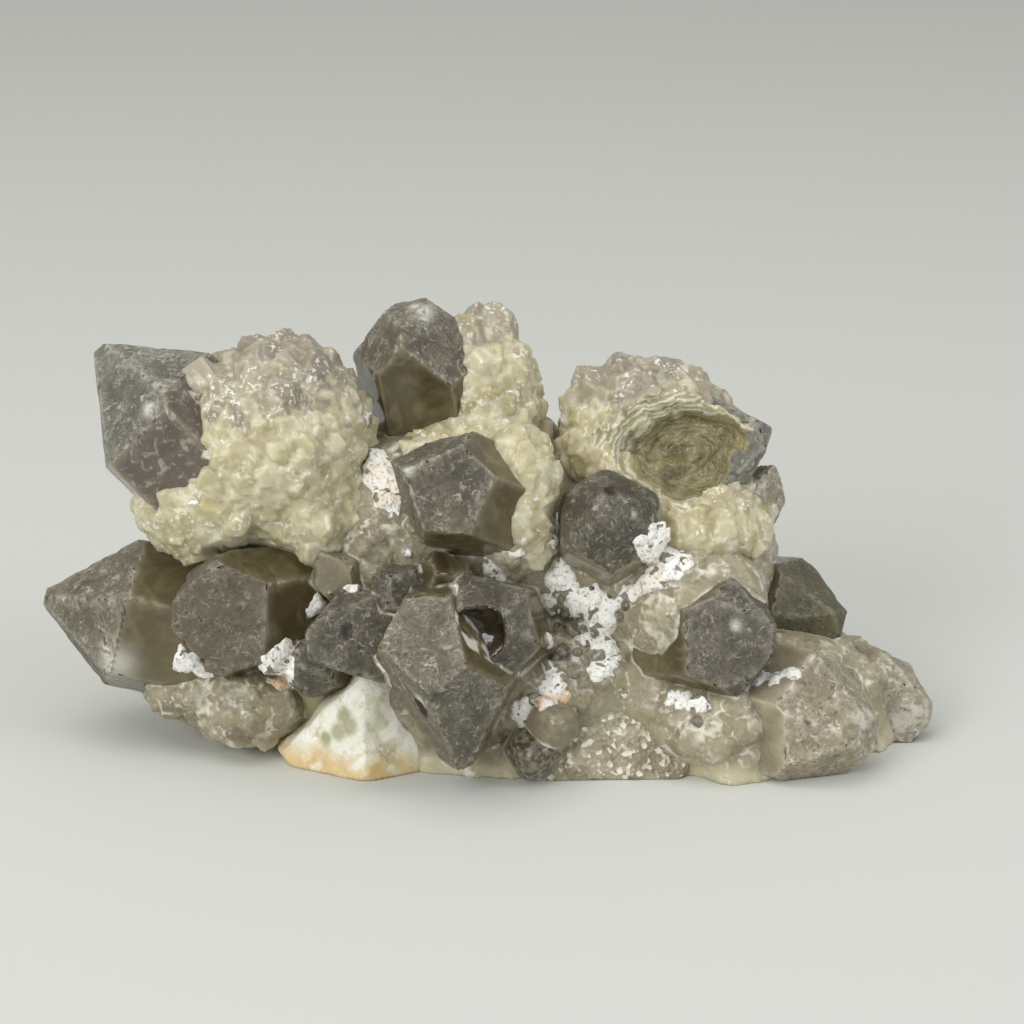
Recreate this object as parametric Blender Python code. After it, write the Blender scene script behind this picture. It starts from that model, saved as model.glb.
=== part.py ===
"""A cluster of pineapple quartz: smoky crystals with frosted six-sided heads, which stand out of
crusts of small crystals on one common base. It grew as one piece, so it is one solid.

Lengths in the layout are millimetres: +X right, +Y away from the front, +Z up, base on z = 0.
"""

import math
import random
from dataclasses import dataclass

import bmesh
import bpy
from mathutils import Matrix, Vector

MM = 0.001
NAME = "quartz_cluster"
CENTRE_SHIFT = (0.0, 3.75)  # moves the layout so that its box stands centred on the origin
HEAD_TILT = math.radians(38.2)  # a head face of quartz against the length of the crystal
GOLDEN_TURN = math.pi * (3.0 - math.sqrt(5.0))
SEED = 12


@dataclass(frozen=True)
class Crystal:
    """One six-sided crystal: its tip, where it points, and how far each face stands out."""

    tip: tuple
    heading: float  # degrees in plan from +X
    rise: float  # degrees above level
    across: float  # between two opposite side faces
    length: float
    roll: float = 30.0  # turn of side face 0 from the upper side, in degrees
    sides: tuple = (1.0, 1.0, 1.0, 1.0, 1.0, 1.0)  # distance of each side face, as a share
    heads: tuple = (0.0, 1.5, 0.0, 1.5, 0.0, 1.5)  # how far each head face is set forward
    blunt: float = 0.0  # worn off the tip


@dataclass(frozen=True)
class Lump:
    """A rounded mass of massive quartz. Each cut is a flat break: its normal and its distance."""

    centre: tuple
    radii: tuple
    rough: float = 0.09  # unevenness, as a share of the radius
    detail: int = 2
    cuts: tuple = ()


@dataclass(frozen=True)
class Crust:
    """Small crystals grown over a lump, which lean the way the crystal inside it points."""

    lump: Lump
    lean: tuple
    count: int
    width: tuple  # least and greatest width of a small crystal
    stand: float = 0.55  # how far a small crystal's tip stands out, in widths


TRIGONAL = (0.0, 7.0, 0.0, 7.0, 0.0, 7.0)  # a head with three great faces and three small ones

CRYSTALS = {
    "upper_left": Crystal((-64.5, 2.0, 66.0), 167, 44, 24.5, 33, 30, heads=(2.0, 0.0, 1.0, 2.0, 1.0, 2.0)),
    "lower_left": Crystal(
        (-75.0, -2.0, 24.7), -179, 13.5, 23.5, 50, 30, heads=(0.0, 0.5, 1.5, 2.0, 1.0, 1.0), blunt=0.6
    ),
    "summit": Crystal(
        (-12.8, 7.0, 74.8), -125, 75, 20.6, 44, 31, heads=(1.0, 0.0, 8.0, 3.0, 2.0, 1.0), blunt=3.0
    ),
    "centre": Crystal((-13.3, -24.0, 53.0), -134, 27, 17.5, 32, -22, heads=TRIGONAL),
    "dome": Crystal((20.0, -22.0, 47.5), -90, 36, 16.5, 28, 30, blunt=3.0),
    "front": Crystal(
        (-9.0, -42.5, 22.0), -104, 0, 25.5, 38, -6,
        sides=(0.9, 0.5, 0.78, 1.75, 0.95, 0.9), heads=(0.0, 7.0, 0.0, 15.0, 0.0, 7.0),
    ),
    "hollow": Crystal((-2.5, -35.0, 30.0), -100, 20, 17.0, 28, 10, blunt=1.5),
    "inner_left": Crystal(
        (-51.5, -22.0, 27.0), -142, 4, 18.0, 34, 30,
        sides=(1.0, 0.8, 1.1, 1.0, 1.0, 1.0), heads=(3.0, -5.0, 3.0, 2.0, 1.0, 2.0), blunt=1.0,
    ),
    "pale_small": Crystal((-27.5, -15.0, 36.5), -132, 45, 9.0, 20, 20),
    "dark_face": Crystal(
        (-28.0, -30.0, 27.0), -132, 24, 18.5, 28, 62, heads=(-3.0, 1.0, 2.0, 1.5, 2.0, 1.5), blunt=1.0
    ),
    "dark_upper": Crystal((-15.5, -24.0, 35.5), -105, 40, 9.0, 20, 0),
    "brown_upper": Crystal((-8.0, -24.0, 36.0), -95, 30, 9.0, 20, 30),
    "right_dark": Crystal(
        (46.0, -26.0, 25.0), -45, 12, 17.5, 32, 38,
        sides=(1.0, 1.0, 1.0, 1.0, 0.9, 1.0), heads=(2.7, 1.6, 2.2, 3.3, -2.0, 2.4), blunt=1.0,
    ),
    "right_olive": Crystal((61.0, -4.0, 20.5), -30, 4, 18.5, 32, 10, blunt=2.0),
    "right_pale": Crystal(
        (64.0, -22.0, 9.5), -42, 3, 20.0, 34, 30, heads=(1.0, 2.0, 2.3, 0.6, 3.0, 1.4), blunt=3.0
    ),
    "right_end": Crystal(
        (74.4, -9.0, 5.5), -38, 4, 18.0, 30, 30, heads=(2.0, 2.0, 2.0, 2.0, -3.0, 2.0), blunt=1.5
    ),
    "broken": Crystal((47.7, -2.0, 53.5), -27, 23, 23.0, 34, 30, blunt=2.0),
    "right_sliver": Crystal((48.0, 3.0, 46.0), 10, 60, 9.0, 20, 0),
    "left_round": Crystal((-43.0, -13.0, 9.5), -130, 5, 11.0, 20, 10, blunt=1.5),
    "small_dark": Crystal((-31.0, -21.0, 18.5), -115, 15, 9.5, 18, 30, blunt=0.8),
    "foot_grey": Crystal((7.0, -31.0, 6.5), -95, 10, 9.0, 18, 0, blunt=1.0),
    "foot_brown": Crystal((11.5, -30.0, 12.5), -80, 25, 8.5, 18, 20, blunt=1.0),
    "back_left": Crystal((-42.0, 30.0, 34.0), 118, 22, 18.0, 32, 30, blunt=0.8),
    "back_middle": Crystal((-6.0, 35.0, 30.0), 96, 12, 21.0, 32, 12, heads=TRIGONAL),
    "back_high": Crystal((9.0, 31.0, 47.0), 75, 32, 16.0, 30, 0),
    "back_right": Crystal((42.0, 31.0, 21.0), 66, 14, 18.5, 32, 24, blunt=1.0),
    "back_low": Crystal((-22.0, 31.0, 12.0), 104, 4, 13.0, 24, 40),
}

# The line where the broken base meets the flat, from the back left round the front.
FOOT = (
    (-56.0, 13.0), (-50.0, 6.0), (-42.0, -1.0), (-35.0, -8.0), (-31.0, -14.0), (-22.0, -17.0), (-10.0, -22.0),
    (4.0, -24.0), (9.0, -21.5), (21.0, -22.0), (33.0, -22.5), (41.0, -27.0), (53.0, -27.5), (60.0, -21.0),
    (69.0, -15.5), (73.0, -5.0), (72.0, 5.0), (60.0, 13.0), (44.0, 19.0), (20.0, 23.0), (-8.0, 23.0),
    (-34.0, 22.0), (-50.0, 20.0),
)
FOOT_MIDDLE = (8.0, 0.0)
FOOT_RINGS = ((-1.0, 1.0, 1.0), (6.0, 0.985, 0.96), (13.0, 0.92, 0.82))  # height, and share of x and of y
BREAK_FRONTS = ((-38.0, -8.0), (4.0, 33.0))  # where along x the flat breaks are, with no grains on them
FOOT_UNEVEN = (0.6, 0.6, 0.8)  # of the base, along each axis
FOOT_GRAIN_STEP = 6.5
FOOT_GRAIN_WIDTH = (5.5, 8.0)
FOOT_GRAIN_HEIGHTS = (4.5, 10.5)  # the two rows of grains
FOOT_GRAIN_LIFT = 1.0  # most that a grain is above or below its row
FOOT_GRAIN_OUT = 0.5  # how far a grain's tip stands before the wall
FOOT_GRAIN_TURN = 40.0  # most that it points to one side, in degrees
FOOT_GRAIN_RISE = (5.0, 45.0)
FOOT_GRAIN_LENGTH = 1.5  # in widths

CORE = (
    Lump((-28.0, 4.0, 12.0), (28.0, 17.0, 15.0)),
    Lump((4.0, -2.0, 11.0), (34.0, 22.0, 15.0)),
    Lump((36.0, -2.0, 9.0), (30.0, 21.0, 13.0)),
    Lump((-10.0, 4.0, 32.0), (32.0, 20.0, 20.0)),
    Lump((24.0, 4.0, 28.0), (26.0, 19.0, 18.0)),
    Lump(
        (-22.5, -14.0, 8.0), (16.0, 12.0, 13.0), 0.02,
        cuts=(((-0.62, -0.6, 0.5), 6.2), ((0.3, -0.83, 0.47), 6.4), ((0.0, -0.9, -0.4), 9.5)),
    ),
    Lump((18.5, -16.0, 4.0), (18.0, 12.0, 11.0), 0.04, cuts=(((0.03, -0.95, 0.3), 6.5),)),
    Lump((37.0, -15.0, 8.5), (13.0, 13.0, 9.0)),
    Lump((34.0, -11.0, 25.0), (13.0, 11.0, 12.0), 0.06),
    Lump((-34.0, 10.0, 41.0), (9.5, 7.5, 7.5), 0.04),
)

CRUSTS = (
    Crust(Lump((-37.5, -1.5, 51.0), (18.5, 17.5, 16.5)), (-0.5, 0.0, 0.6), 78, (3.2, 6.0)),
    Crust(Lump((-46.5, -3.5, 42.0), (12.5, 13.5, 11.0)), (-0.5, 0.0, 0.6), 42, (3.0, 5.0)),
    Crust(Lump((-27.0, -6.0, 37.0), (14.0, 13.0, 12.0)), (-0.2, -0.2, 0.6), 36, (3.0, 5.0)),
    Crust(Lump((-2.0, 11.0, 47.0), (13.0, 11.5, 22.5)), (0.1, 0.0, 0.8), 56, (3.0, 5.2)),
    Crust(Lump((-4.0, -1.0, 47.0), (12.0, 8.0, 8.0)), (0.0, -0.2, 0.6), 24, (2.6, 4.4)),
    Crust(Lump((27.5, 8.5, 46.5), (17.0, 15.5, 15.5)), (0.3, 0.0, 0.5), 66, (3.2, 6.0)),
    Crust(Lump((34.0, -1.0, 36.5), (14.0, 13.0, 9.0)), (0.5, -0.3, 0.3), 40, (2.8, 4.8)),
    Crust(Lump((4.5, -8.0, 43.0), (8.5, 10.5, 13.0)), (0.0, -0.3, 0.4), 30, (2.6, 4.4)),
    Crust(Lump((-26.0, 13.0, 30.0), (22.0, 14.0, 16.0)), (-0.2, 0.8, 0.3), 25, (4.0, 6.4)),
    Crust(Lump((14.0, 14.0, 27.0), (25.0, 14.0, 18.0)), (0.1, 0.8, 0.3), 28, (4.0, 6.6)),
)

BREAKS = {
    "broken_bowl": Lump((31.5, -11.5, 55.0), (12.0, 10.5, 8.0), 0.06),
    "hopper": Lump((-1.0, -35.5, 27.5), (4.2, 4.5, 5.0), 0.05, 1),
}

GROUND = 200.0  # width of the block that cuts the base off flat
LEAST_CLEARANCE = 0.8  # between a crust crystal and the face of a great one
LOWEST_CRUST = 3.0  # the crust stops this far above the flat


def clear_scene():
    """Removes every object, so that the part starts from an empty scene."""
    for obj in list(bpy.data.objects):
        bpy.data.objects.remove(obj, do_unlink=True)


def new_collection(name, helper=False):
    """A collection linked to the scene. A helper's objects are left out of renders."""
    made = bpy.data.collections.new(name)
    made.hide_render = helper
    bpy.context.scene.collection.children.link(made)
    return made


def slice_off(bm, point, normal):
    """Cuts away what lies beyond a plane, and closes the cut with one flat face."""
    bmesh.ops.bisect_plane(
        bm,
        geom=bm.verts[:] + bm.edges[:] + bm.faces[:],
        dist=1e-5,
        plane_co=point,
        plane_no=normal,
        clear_outer=True,
    )
    rim = [edge for edge in bm.edges if edge.is_boundary]
    if rim:
        bmesh.ops.holes_fill(bm, edges=rim, sides=0)


def axes_of(crystal):
    """The upper side, the flank and the length of a crystal, as directions."""
    heading, rise = math.radians(crystal.heading), math.radians(crystal.rise)
    level = Vector((math.cos(heading), math.sin(heading), 0.0))
    length = level * math.cos(rise) + Vector((0.0, 0.0, math.sin(rise)))
    upper = Vector((0.0, 0.0, math.cos(rise))) - level * math.sin(rise)
    return upper, upper.cross(length), length


def faces_of(crystal):
    """A point on each face of a crystal, and the way the face looks."""
    upper, flank, length = axes_of(crystal)
    tip = Vector(crystal.tip)
    for i in range(6):
        turn = math.radians(crystal.roll + 60.0 * i)
        out = upper * math.cos(turn) + flank * math.sin(turn)
        yield tip + out * crystal.across / 2.0 * crystal.sides[i], out
        yield tip + length * crystal.heads[i], out * math.cos(HEAD_TILT) + length * math.sin(HEAD_TILT)
    yield tip - length * crystal.blunt, length
    yield tip - length * crystal.length, -length


def crystal_mesh(crystal):
    """A block turned to the crystal's length, cut by each of its faces."""
    bm = bmesh.new()
    bmesh.ops.create_cube(bm, size=crystal.length * 2.2)
    turn = Matrix(axes_of(crystal)).transposed().to_4x4()
    bmesh.ops.transform(bm, matrix=Matrix.Translation(crystal.tip) @ turn, verts=bm.verts)
    for point, normal in faces_of(crystal):
        slice_off(bm, point, normal)
    bmesh.ops.recalc_face_normals(bm, faces=bm.faces)
    return bm


def lump_mesh(lump, chance):
    """A sphere of flat faces, stretched, made uneven, broken flat where it has cuts."""
    bm = bmesh.new()
    bmesh.ops.create_icosphere(bm, subdivisions=lump.detail, radius=1.0)
    centre = Vector(lump.centre)
    for vert in bm.verts:
        uneven = 1.0 + lump.rough * chance.uniform(-1.0, 1.0)
        vert.co = centre + Vector(r * v * uneven for r, v in zip(lump.radii, vert.co))
    for normal, distance in lump.cuts:
        normal = Vector(normal).normalized()
        slice_off(bm, centre + normal * distance, normal)
    bmesh.ops.recalc_face_normals(bm, faces=bm.faces)
    return bm


def foot_mesh(chance):
    """The broken base: its line on the flat, drawn upwards in two steps and a little in."""
    bm = bmesh.new()
    face = bm.faces.new([bm.verts.new((x, y, FOOT_RINGS[0][0])) for x, y in FOOT])
    below = FOOT_RINGS[0]
    for ring in FOOT_RINGS[1:]:
        grown = bmesh.ops.extrude_face_region(bm, geom=[face])["geom"]
        if below is not FOOT_RINGS[0]:
            bmesh.ops.delete(bm, geom=[face], context="FACES_ONLY")
        face = next(part for part in grown if isinstance(part, bmesh.types.BMFace))
        for vert in face.verts:
            for i, middle in enumerate(FOOT_MIDDLE):
                drawn = middle + (vert.co[i] - middle) * ring[i + 1] / below[i + 1]
                vert.co[i] = drawn + FOOT_UNEVEN[i] * chance.uniform(-1.0, 1.0)
            vert.co.z = ring[0] + FOOT_UNEVEN[2] * chance.uniform(-1.0, 1.0)
        below = ring
    bmesh.ops.triangulate(bm, faces=bm.faces)
    bmesh.ops.recalc_face_normals(bm, faces=bm.faces)
    return bm


def foot_grains(chance):
    """Blocky crystals packed along the wall of the base, apart from its flat breaks."""
    for start, end in zip(FOOT, FOOT[1:] + FOOT[:1]):
        side = Vector(end) - Vector(start)
        out = Vector((side.y, -side.x)).normalized()
        count = int(side.length / FOOT_GRAIN_STEP) + 1
        for i in range(count):
            spot = Vector(start) + side * (i + chance.random()) / count
            if spot.y < 0.0 and any(low < spot.x < high for low, high in BREAK_FRONTS):
                continue
            width = chance.uniform(*FOOT_GRAIN_WIDTH)
            height = chance.choice(FOOT_GRAIN_HEIGHTS) + FOOT_GRAIN_LIFT * chance.uniform(-1.0, 1.0)
            heading = math.degrees(math.atan2(out.y, out.x)) + FOOT_GRAIN_TURN * chance.uniform(-1.0, 1.0)
            tip = (spot.x + out.x * FOOT_GRAIN_OUT, spot.y + out.y * FOOT_GRAIN_OUT, height)
            rise = chance.uniform(*FOOT_GRAIN_RISE)
            yield Crystal(tip, heading, rise, width, width * FOOT_GRAIN_LENGTH, chance.uniform(0.0, 60.0))


def is_clear(point):
    """Whether a point is outside every great crystal, with room to spare."""
    for crystal in CRYSTALS.values():
        if all((point - on_face).dot(normal) < LEAST_CLEARANCE for on_face, normal in faces_of(crystal)):
            return False
    return point.z > LOWEST_CRUST


def crust_crystals(crust, chance):
    """Small crystals spread evenly over the lump, each a golden turn on from the last."""
    lump = crust.lump
    for i in range(crust.count):
        height = 1.0 - 2.0 * (i + 0.5) / crust.count
        ring = math.sqrt(1.0 - height * height)
        turn = GOLDEN_TURN * i + chance.uniform(-0.2, 0.2)
        unit = Vector((ring * math.cos(turn), ring * math.sin(turn), height))
        out = Vector(u / r for u, r in zip(unit, lump.radii)).normalized()
        spread = Vector(chance.uniform(-0.3, 0.3) for _ in range(3))
        points = (out + Vector(crust.lean) * 0.6 + spread).normalized()
        width = chance.uniform(*crust.width)
        roll = chance.uniform(0.0, 60.0)
        foot = Vector(c + r * u for c, r, u in zip(lump.centre, lump.radii, unit))
        tip = foot + points * width * crust.stand
        if is_clear(foot) and is_clear(tip):
            heading = math.degrees(math.atan2(points.y, points.x))
            rise = math.degrees(math.asin(points.z))
            heads = (0.0, width, 0.0, width, 0.0, width)
            yield Crystal(tuple(tip), heading, rise, width, width * 1.8, roll, heads=heads)


def add_solid(bm, name, collection):
    """Turns a mesh in millimetres into an object in metres."""
    shift = Matrix.Translation((CENTRE_SHIFT[0], CENTRE_SHIFT[1], 0.0))
    bmesh.ops.transform(bm, matrix=Matrix.Scale(MM, 4) @ shift, verts=bm.verts)
    mesh = bpy.data.meshes.new(name)
    bm.to_mesh(mesh)
    bm.free()
    obj = bpy.data.objects.new(name, mesh)
    collection.objects.link(obj)
    return obj


def as_helper(obj):
    """Marks an object that only shapes another one."""
    obj.hide_render = True
    obj.display_type = "WIRE"
    return obj


def ground_mesh():
    """A block whose top is the flat that the cluster rests on."""
    bm = bmesh.new()
    bmesh.ops.create_cube(bm, size=GROUND)
    bmesh.ops.translate(bm, vec=(0.0, 0.0, -GROUND / 2.0), verts=bm.verts)
    return bm


def quartz_material():
    """Frosted smoky quartz."""
    material = bpy.data.materials.new("smoky_quartz")
    material.use_nodes = True
    surface = material.node_tree.nodes["Principled BSDF"]
    surface.inputs["Base Color"].default_value = (0.32, 0.29, 0.21, 1.0)
    surface.inputs["Roughness"].default_value = 0.5
    surface.inputs["IOR"].default_value = 1.54
    return material


def add_boolean(obj, name, operation, collection):
    """Joins or cuts the object with every solid of a collection."""
    boolean = obj.modifiers.new(name, "BOOLEAN")
    boolean.operation = operation
    boolean.solver = "EXACT"
    boolean.operand_type = "COLLECTION"
    boolean.collection = collection


def build():
    """Builds the cluster: the base, then all that grew on it, then the breaks."""
    clear_scene()
    chance = random.Random(SEED)
    part = new_collection("pineapple_quartz_cluster")
    grown = new_collection("grown_on_the_base", helper=True)
    broken = new_collection("broken_away", helper=True)
    base = add_solid(lump_mesh(CORE[0], chance), NAME, part)
    for i, lump in enumerate(CORE[1:], 1):
        as_helper(add_solid(lump_mesh(lump, chance), f"core_{i}", grown))
    as_helper(add_solid(foot_mesh(chance), "foot", grown))
    for i, grain in enumerate(foot_grains(chance)):
        as_helper(add_solid(crystal_mesh(grain), f"grain_{i}", grown))
    for name, crystal in CRYSTALS.items():
        as_helper(add_solid(crystal_mesh(crystal), name, grown))
    for i, crust in enumerate(CRUSTS):
        as_helper(add_solid(lump_mesh(crust.lump, chance), f"crust_{i}", grown))
        for j, small in enumerate(crust_crystals(crust, chance)):
            as_helper(add_solid(crystal_mesh(small), f"small_{i}_{j}", grown))
    for name, lump in BREAKS.items():
        as_helper(add_solid(lump_mesh(lump, chance), name, broken))
    as_helper(add_solid(ground_mesh(), "ground", broken))
    base.data.materials.append(quartz_material())
    add_boolean(base, "grown_together", "UNION", grown)
    add_boolean(base, "broken_away", "DIFFERENCE", broken)


if __name__ == "__main__":
    build()
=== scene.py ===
"""Looks of a pineapple quartz cluster: smoky crystals with frosted heads on a druse-crusted base.

Lengths in the layout are millimetres, with the same places as in the solid: +X right, +Y away
from the front, +Z up, and the flat that the cluster rests on at z = 0.
"""

import logging
import math
from dataclasses import dataclass, field
from enum import Enum
from itertools import product
from typing import Callable, Iterable, Optional, Sequence

import bpy
import numpy as np
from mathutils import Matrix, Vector
from mathutils.bvhtree import BVHTree


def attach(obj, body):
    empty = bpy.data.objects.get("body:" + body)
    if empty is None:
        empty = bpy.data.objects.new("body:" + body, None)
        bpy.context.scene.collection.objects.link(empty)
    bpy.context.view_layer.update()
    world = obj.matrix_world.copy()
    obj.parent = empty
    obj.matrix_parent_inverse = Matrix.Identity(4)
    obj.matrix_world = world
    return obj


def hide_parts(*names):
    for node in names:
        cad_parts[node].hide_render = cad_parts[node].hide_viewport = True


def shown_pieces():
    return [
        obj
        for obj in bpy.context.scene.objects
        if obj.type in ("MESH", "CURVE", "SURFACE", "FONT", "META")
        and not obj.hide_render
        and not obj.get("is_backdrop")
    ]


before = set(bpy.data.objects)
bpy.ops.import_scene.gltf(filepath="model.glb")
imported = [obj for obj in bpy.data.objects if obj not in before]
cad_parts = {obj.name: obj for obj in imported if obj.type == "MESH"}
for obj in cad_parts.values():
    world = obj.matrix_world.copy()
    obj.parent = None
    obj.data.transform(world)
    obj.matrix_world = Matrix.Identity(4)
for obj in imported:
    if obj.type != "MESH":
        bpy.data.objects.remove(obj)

log = logging.getLogger("quartz")

MM = 0.001
CENTRE_SHIFT = (0.0, 3.75, 0.0)  # layout to world, in mm
NODE = "quartz_cluster"
HEAD_TILT = math.radians(38.2)  # a head face of quartz against the length of the crystal
QUARTZ_IOR = 1.54
FELDSPAR_IOR = 1.52
JOINT_WHITE = "#F2EDDD"  # feldspar between two crystals
FROST_AND_GLINT_WHITE = "#DEDCD0"  # white powder on a crystal, and a painted glint on the chip of the pale crystal at the right
BREAK_STEPS = 11.0  # how closely the shell-like steps of a break follow each other
FAR = 9.0  # mm: a mark with this value shows nothing
BOX_REACH = 0.64  # of a crystal's width: how far the box that it is drawn in goes past its ends
EDGE_WIDTH = 0.45  # mm from an edge over which its wear fades
EDGE_DEPTH = 0.3  # mm: farther in than this, as in a hollow, nothing counts as an edge
FACE_TONES = 0.18  # how much darker or lighter one face may be than the crystal
SNAP_NEAR = 0.38  # of a cell: a face within this of the outermost one holds the point too
SNAP_REACH = 0.6  # of a cell: a point farther from its face is left where it is
BREAK_SLOT = 1  # the break in a crust

# Seeds: where the noise of each kind of form starts.
SEED_HOLLOW = 77
SEED_HEADS, SEED_NIBBLES, SEED_WEAR = 100, 200, 300
SEED_CRUST_GROUND, SEED_CRUST_SKIN = 410, 430
SEED_CRUST, SEED_CRUST_GRAINS = 500, 600
SEED_SEAM, SEED_GRAIN = 700, 800
SEED_BASE = 905
SEED_FELDSPAR = 31

# The camera, fitted to the outlines of the photograph.
IMAGE_SIDE = 1024
VIEW_RISE = math.radians(17.5)
VIEW_DISTANCE = 500.0
VIEW_TARGET = (4.0, 0.0, 38.5)
FOCAL_PIXELS = 2994.0
SENSOR = 36.0

Array = np.ndarray
Vec3 = tuple[float, float, float]


# Numbers: noise, cells and surfaces


def value_noise(points: Array, size: float, seed: int) -> Array:
    """Smooth noise in space.

    Args:
        points: places in mm, one a row.
        size: the width of its bumps in mm.
        seed: which noise.

    Returns:
        One value a point, between -1 and 1.
    """
    table = np.random.default_rng(seed).uniform(-1.0, 1.0, (32, 32, 32)).astype(np.float32)
    place = points / size
    base = np.floor(place).astype(np.int64)
    part = (place - base).astype(np.float32)
    part = part * part * (3.0 - 2.0 * part)
    total = np.zeros(len(points), np.float32)
    for corner in product((0, 1), repeat=3):
        share = np.prod(np.where(np.array(corner) == 1, part, 1.0 - part), axis=1)
        at = (base + np.array(corner)) & 31
        total += share * table[at[:, 0], at[:, 1], at[:, 2]]
    return total


def fractal(points: Array, size: float, octaves: int, seed: int) -> Array:
    """Noise with finer noise on it.

    Args:
        points: places in mm.
        size: the width of the largest bumps in mm.
        octaves: how many sizes, each half of the last.
        seed: which noise.

    Returns:
        One value a point, mostly between -1 and 1.
    """
    total = np.zeros(len(points), np.float32)
    for i in range(octaves):
        total += value_noise(points, size / 2.0**i, seed + i) * 0.5**i
    return total


def cells(points: Array, size: float, seed: int) -> tuple[Array, Array]:
    """Splits space into rounded cells, like the grains of a rock.

    Args:
        points: places in mm.
        size: the mean width of a cell in mm.
        seed: which cells.

    Returns:
        The distance to the nearest middle, and how much farther the next one is.
    """
    jitter = np.random.default_rng(seed).uniform(0.1, 0.9, (16, 16, 16, 3)).astype(np.float32)
    place = points / size
    base = np.floor(place).astype(np.int64)
    first = np.full(len(points), 9.0, np.float32)
    second = np.full(len(points), 9.0, np.float32)
    for step in product((-1, 0, 1), repeat=3):
        near = base + np.array(step)
        at = near & 15
        middle = near + jitter[at[:, 0], at[:, 1], at[:, 2]]
        away = np.linalg.norm(place - middle, axis=1).astype(np.float32)
        closer = away < first
        second = np.where(closer, first, np.minimum(second, away))
        first = np.where(closer, away, first)
    return first * size, (second - first) * size


def smooth_step(low: float, high: float, value: Array) -> Array:
    """A soft step from 0 at low to 1 at high."""
    t = np.clip((value - low) / (high - low), 0.0, 1.0)
    return t * t * (3.0 - 2.0 * t)


@dataclass
class Shape:
    """A mesh being made: points in mm, faces of four corners, a slot and marks."""

    points: Array
    faces: Array
    slots: Array
    marks: dict[str, Array] = field(default_factory=dict)

    def normals(self) -> Array:
        """One outward direction a point, from the faces round it.

        Returns:
            One direction a point, of length 1.
        """
        a, b, c, d = (self.points[self.faces[:, i]] for i in range(4))
        across = np.cross(c - a, d - b)
        total = np.zeros_like(self.points)
        for i in range(4):
            np.add.at(total, self.faces[:, i], across)
        return total / np.maximum(np.linalg.norm(total, axis=1, keepdims=True), 1e-9)

    def face_middles(self) -> Array:
        """The middle of each face."""
        return self.points[self.faces].mean(axis=1)


def joined(shapes: Sequence[Shape]) -> Shape:
    """Puts several shapes in one, with all their marks.

    Args:
        shapes: the shapes.

    Returns:
        One shape.
    """
    names = sorted({name for shape in shapes for name in shape.marks})
    start = np.cumsum([0] + [len(shape.points) for shape in shapes])
    marks = {
        name: np.concatenate([s.marks.get(name, np.zeros(len(s.points))) for s in shapes]) for name in names
    }
    return Shape(
        np.concatenate([s.points for s in shapes]),
        np.concatenate([s.faces + at for s, at in zip(shapes, start)]),
        np.concatenate([s.slots for s in shapes]),
        marks,
    )


@dataclass
class Grains:
    """Many small flat-faced bodies that grow together, each held between its planes."""

    middle: Array  # of each, in mm
    radius: Array  # none reaches farther than this
    normal: Array  # for each, one row a plane
    reach: Array  # how far out each plane is
    tint: Array  # a number between 0 and 1 for each
    clear: Array  # 1 for a clear one, 0 for a cloudy one

    def fill(self, value: Array, ticks: Sequence[Array]) -> None:
        """Adds every body to a block of distances.

        Args:
            value: the block, which is changed.
            ticks: the places of its rows along each axis.
        """
        for i, middle in enumerate(self.middle):
            reach = self.radius[i]
            bounds = [np.searchsorted(t, (c - reach, c + reach)) for t, c in zip(ticks, middle)]
            cut = tuple(slice(*pair) for pair in bounds)
            near = np.stack(np.meshgrid(*(t[c] for t, c in zip(ticks, cut)), indexing="ij"), axis=-1) - middle
            if near.size:
                away = (near @ self.normal[i].T - self.reach[i]).max(axis=-1)
                np.minimum(value[cut], away, out=value[cut])

    def marks(self, points: Array) -> dict[str, Array]:
        """For each point: which body it is on, how clear that is, and how far the next one is.

        Args:
            points: places in mm, one a row.

        Returns:
            The marks pick, clear and seam, one value a point in each.
        """
        first, second = np.full((2, len(points)), FAR)
        owner = np.full(len(points), -1)
        order = np.argsort(points[:, 0])
        along = points[order, 0]
        for i, middle in enumerate(self.middle):
            reach = self.radius[i]
            near = order[slice(*np.searchsorted(along, (middle[0] - reach, middle[0] + reach)))]
            near = near[np.abs(points[near] - middle).max(axis=1) < reach]
            away = ((points[near] - middle) @ self.normal[i].T - self.reach[i]).max(axis=1)
            closer = away < first[near]
            second[near] = np.where(closer, first[near], np.minimum(second[near], away))
            owner[near] = np.where(closer, i, owner[near])
            first[near] = np.where(closer, away, first[near])
        on = first < 1.0
        return {
            "pick": np.where(on, self.tint[owner], 0.5),
            "clear": np.where(on, self.clear[owner], 0.0),
            "seam": np.where(on, second - first, FAR),
        }


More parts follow.
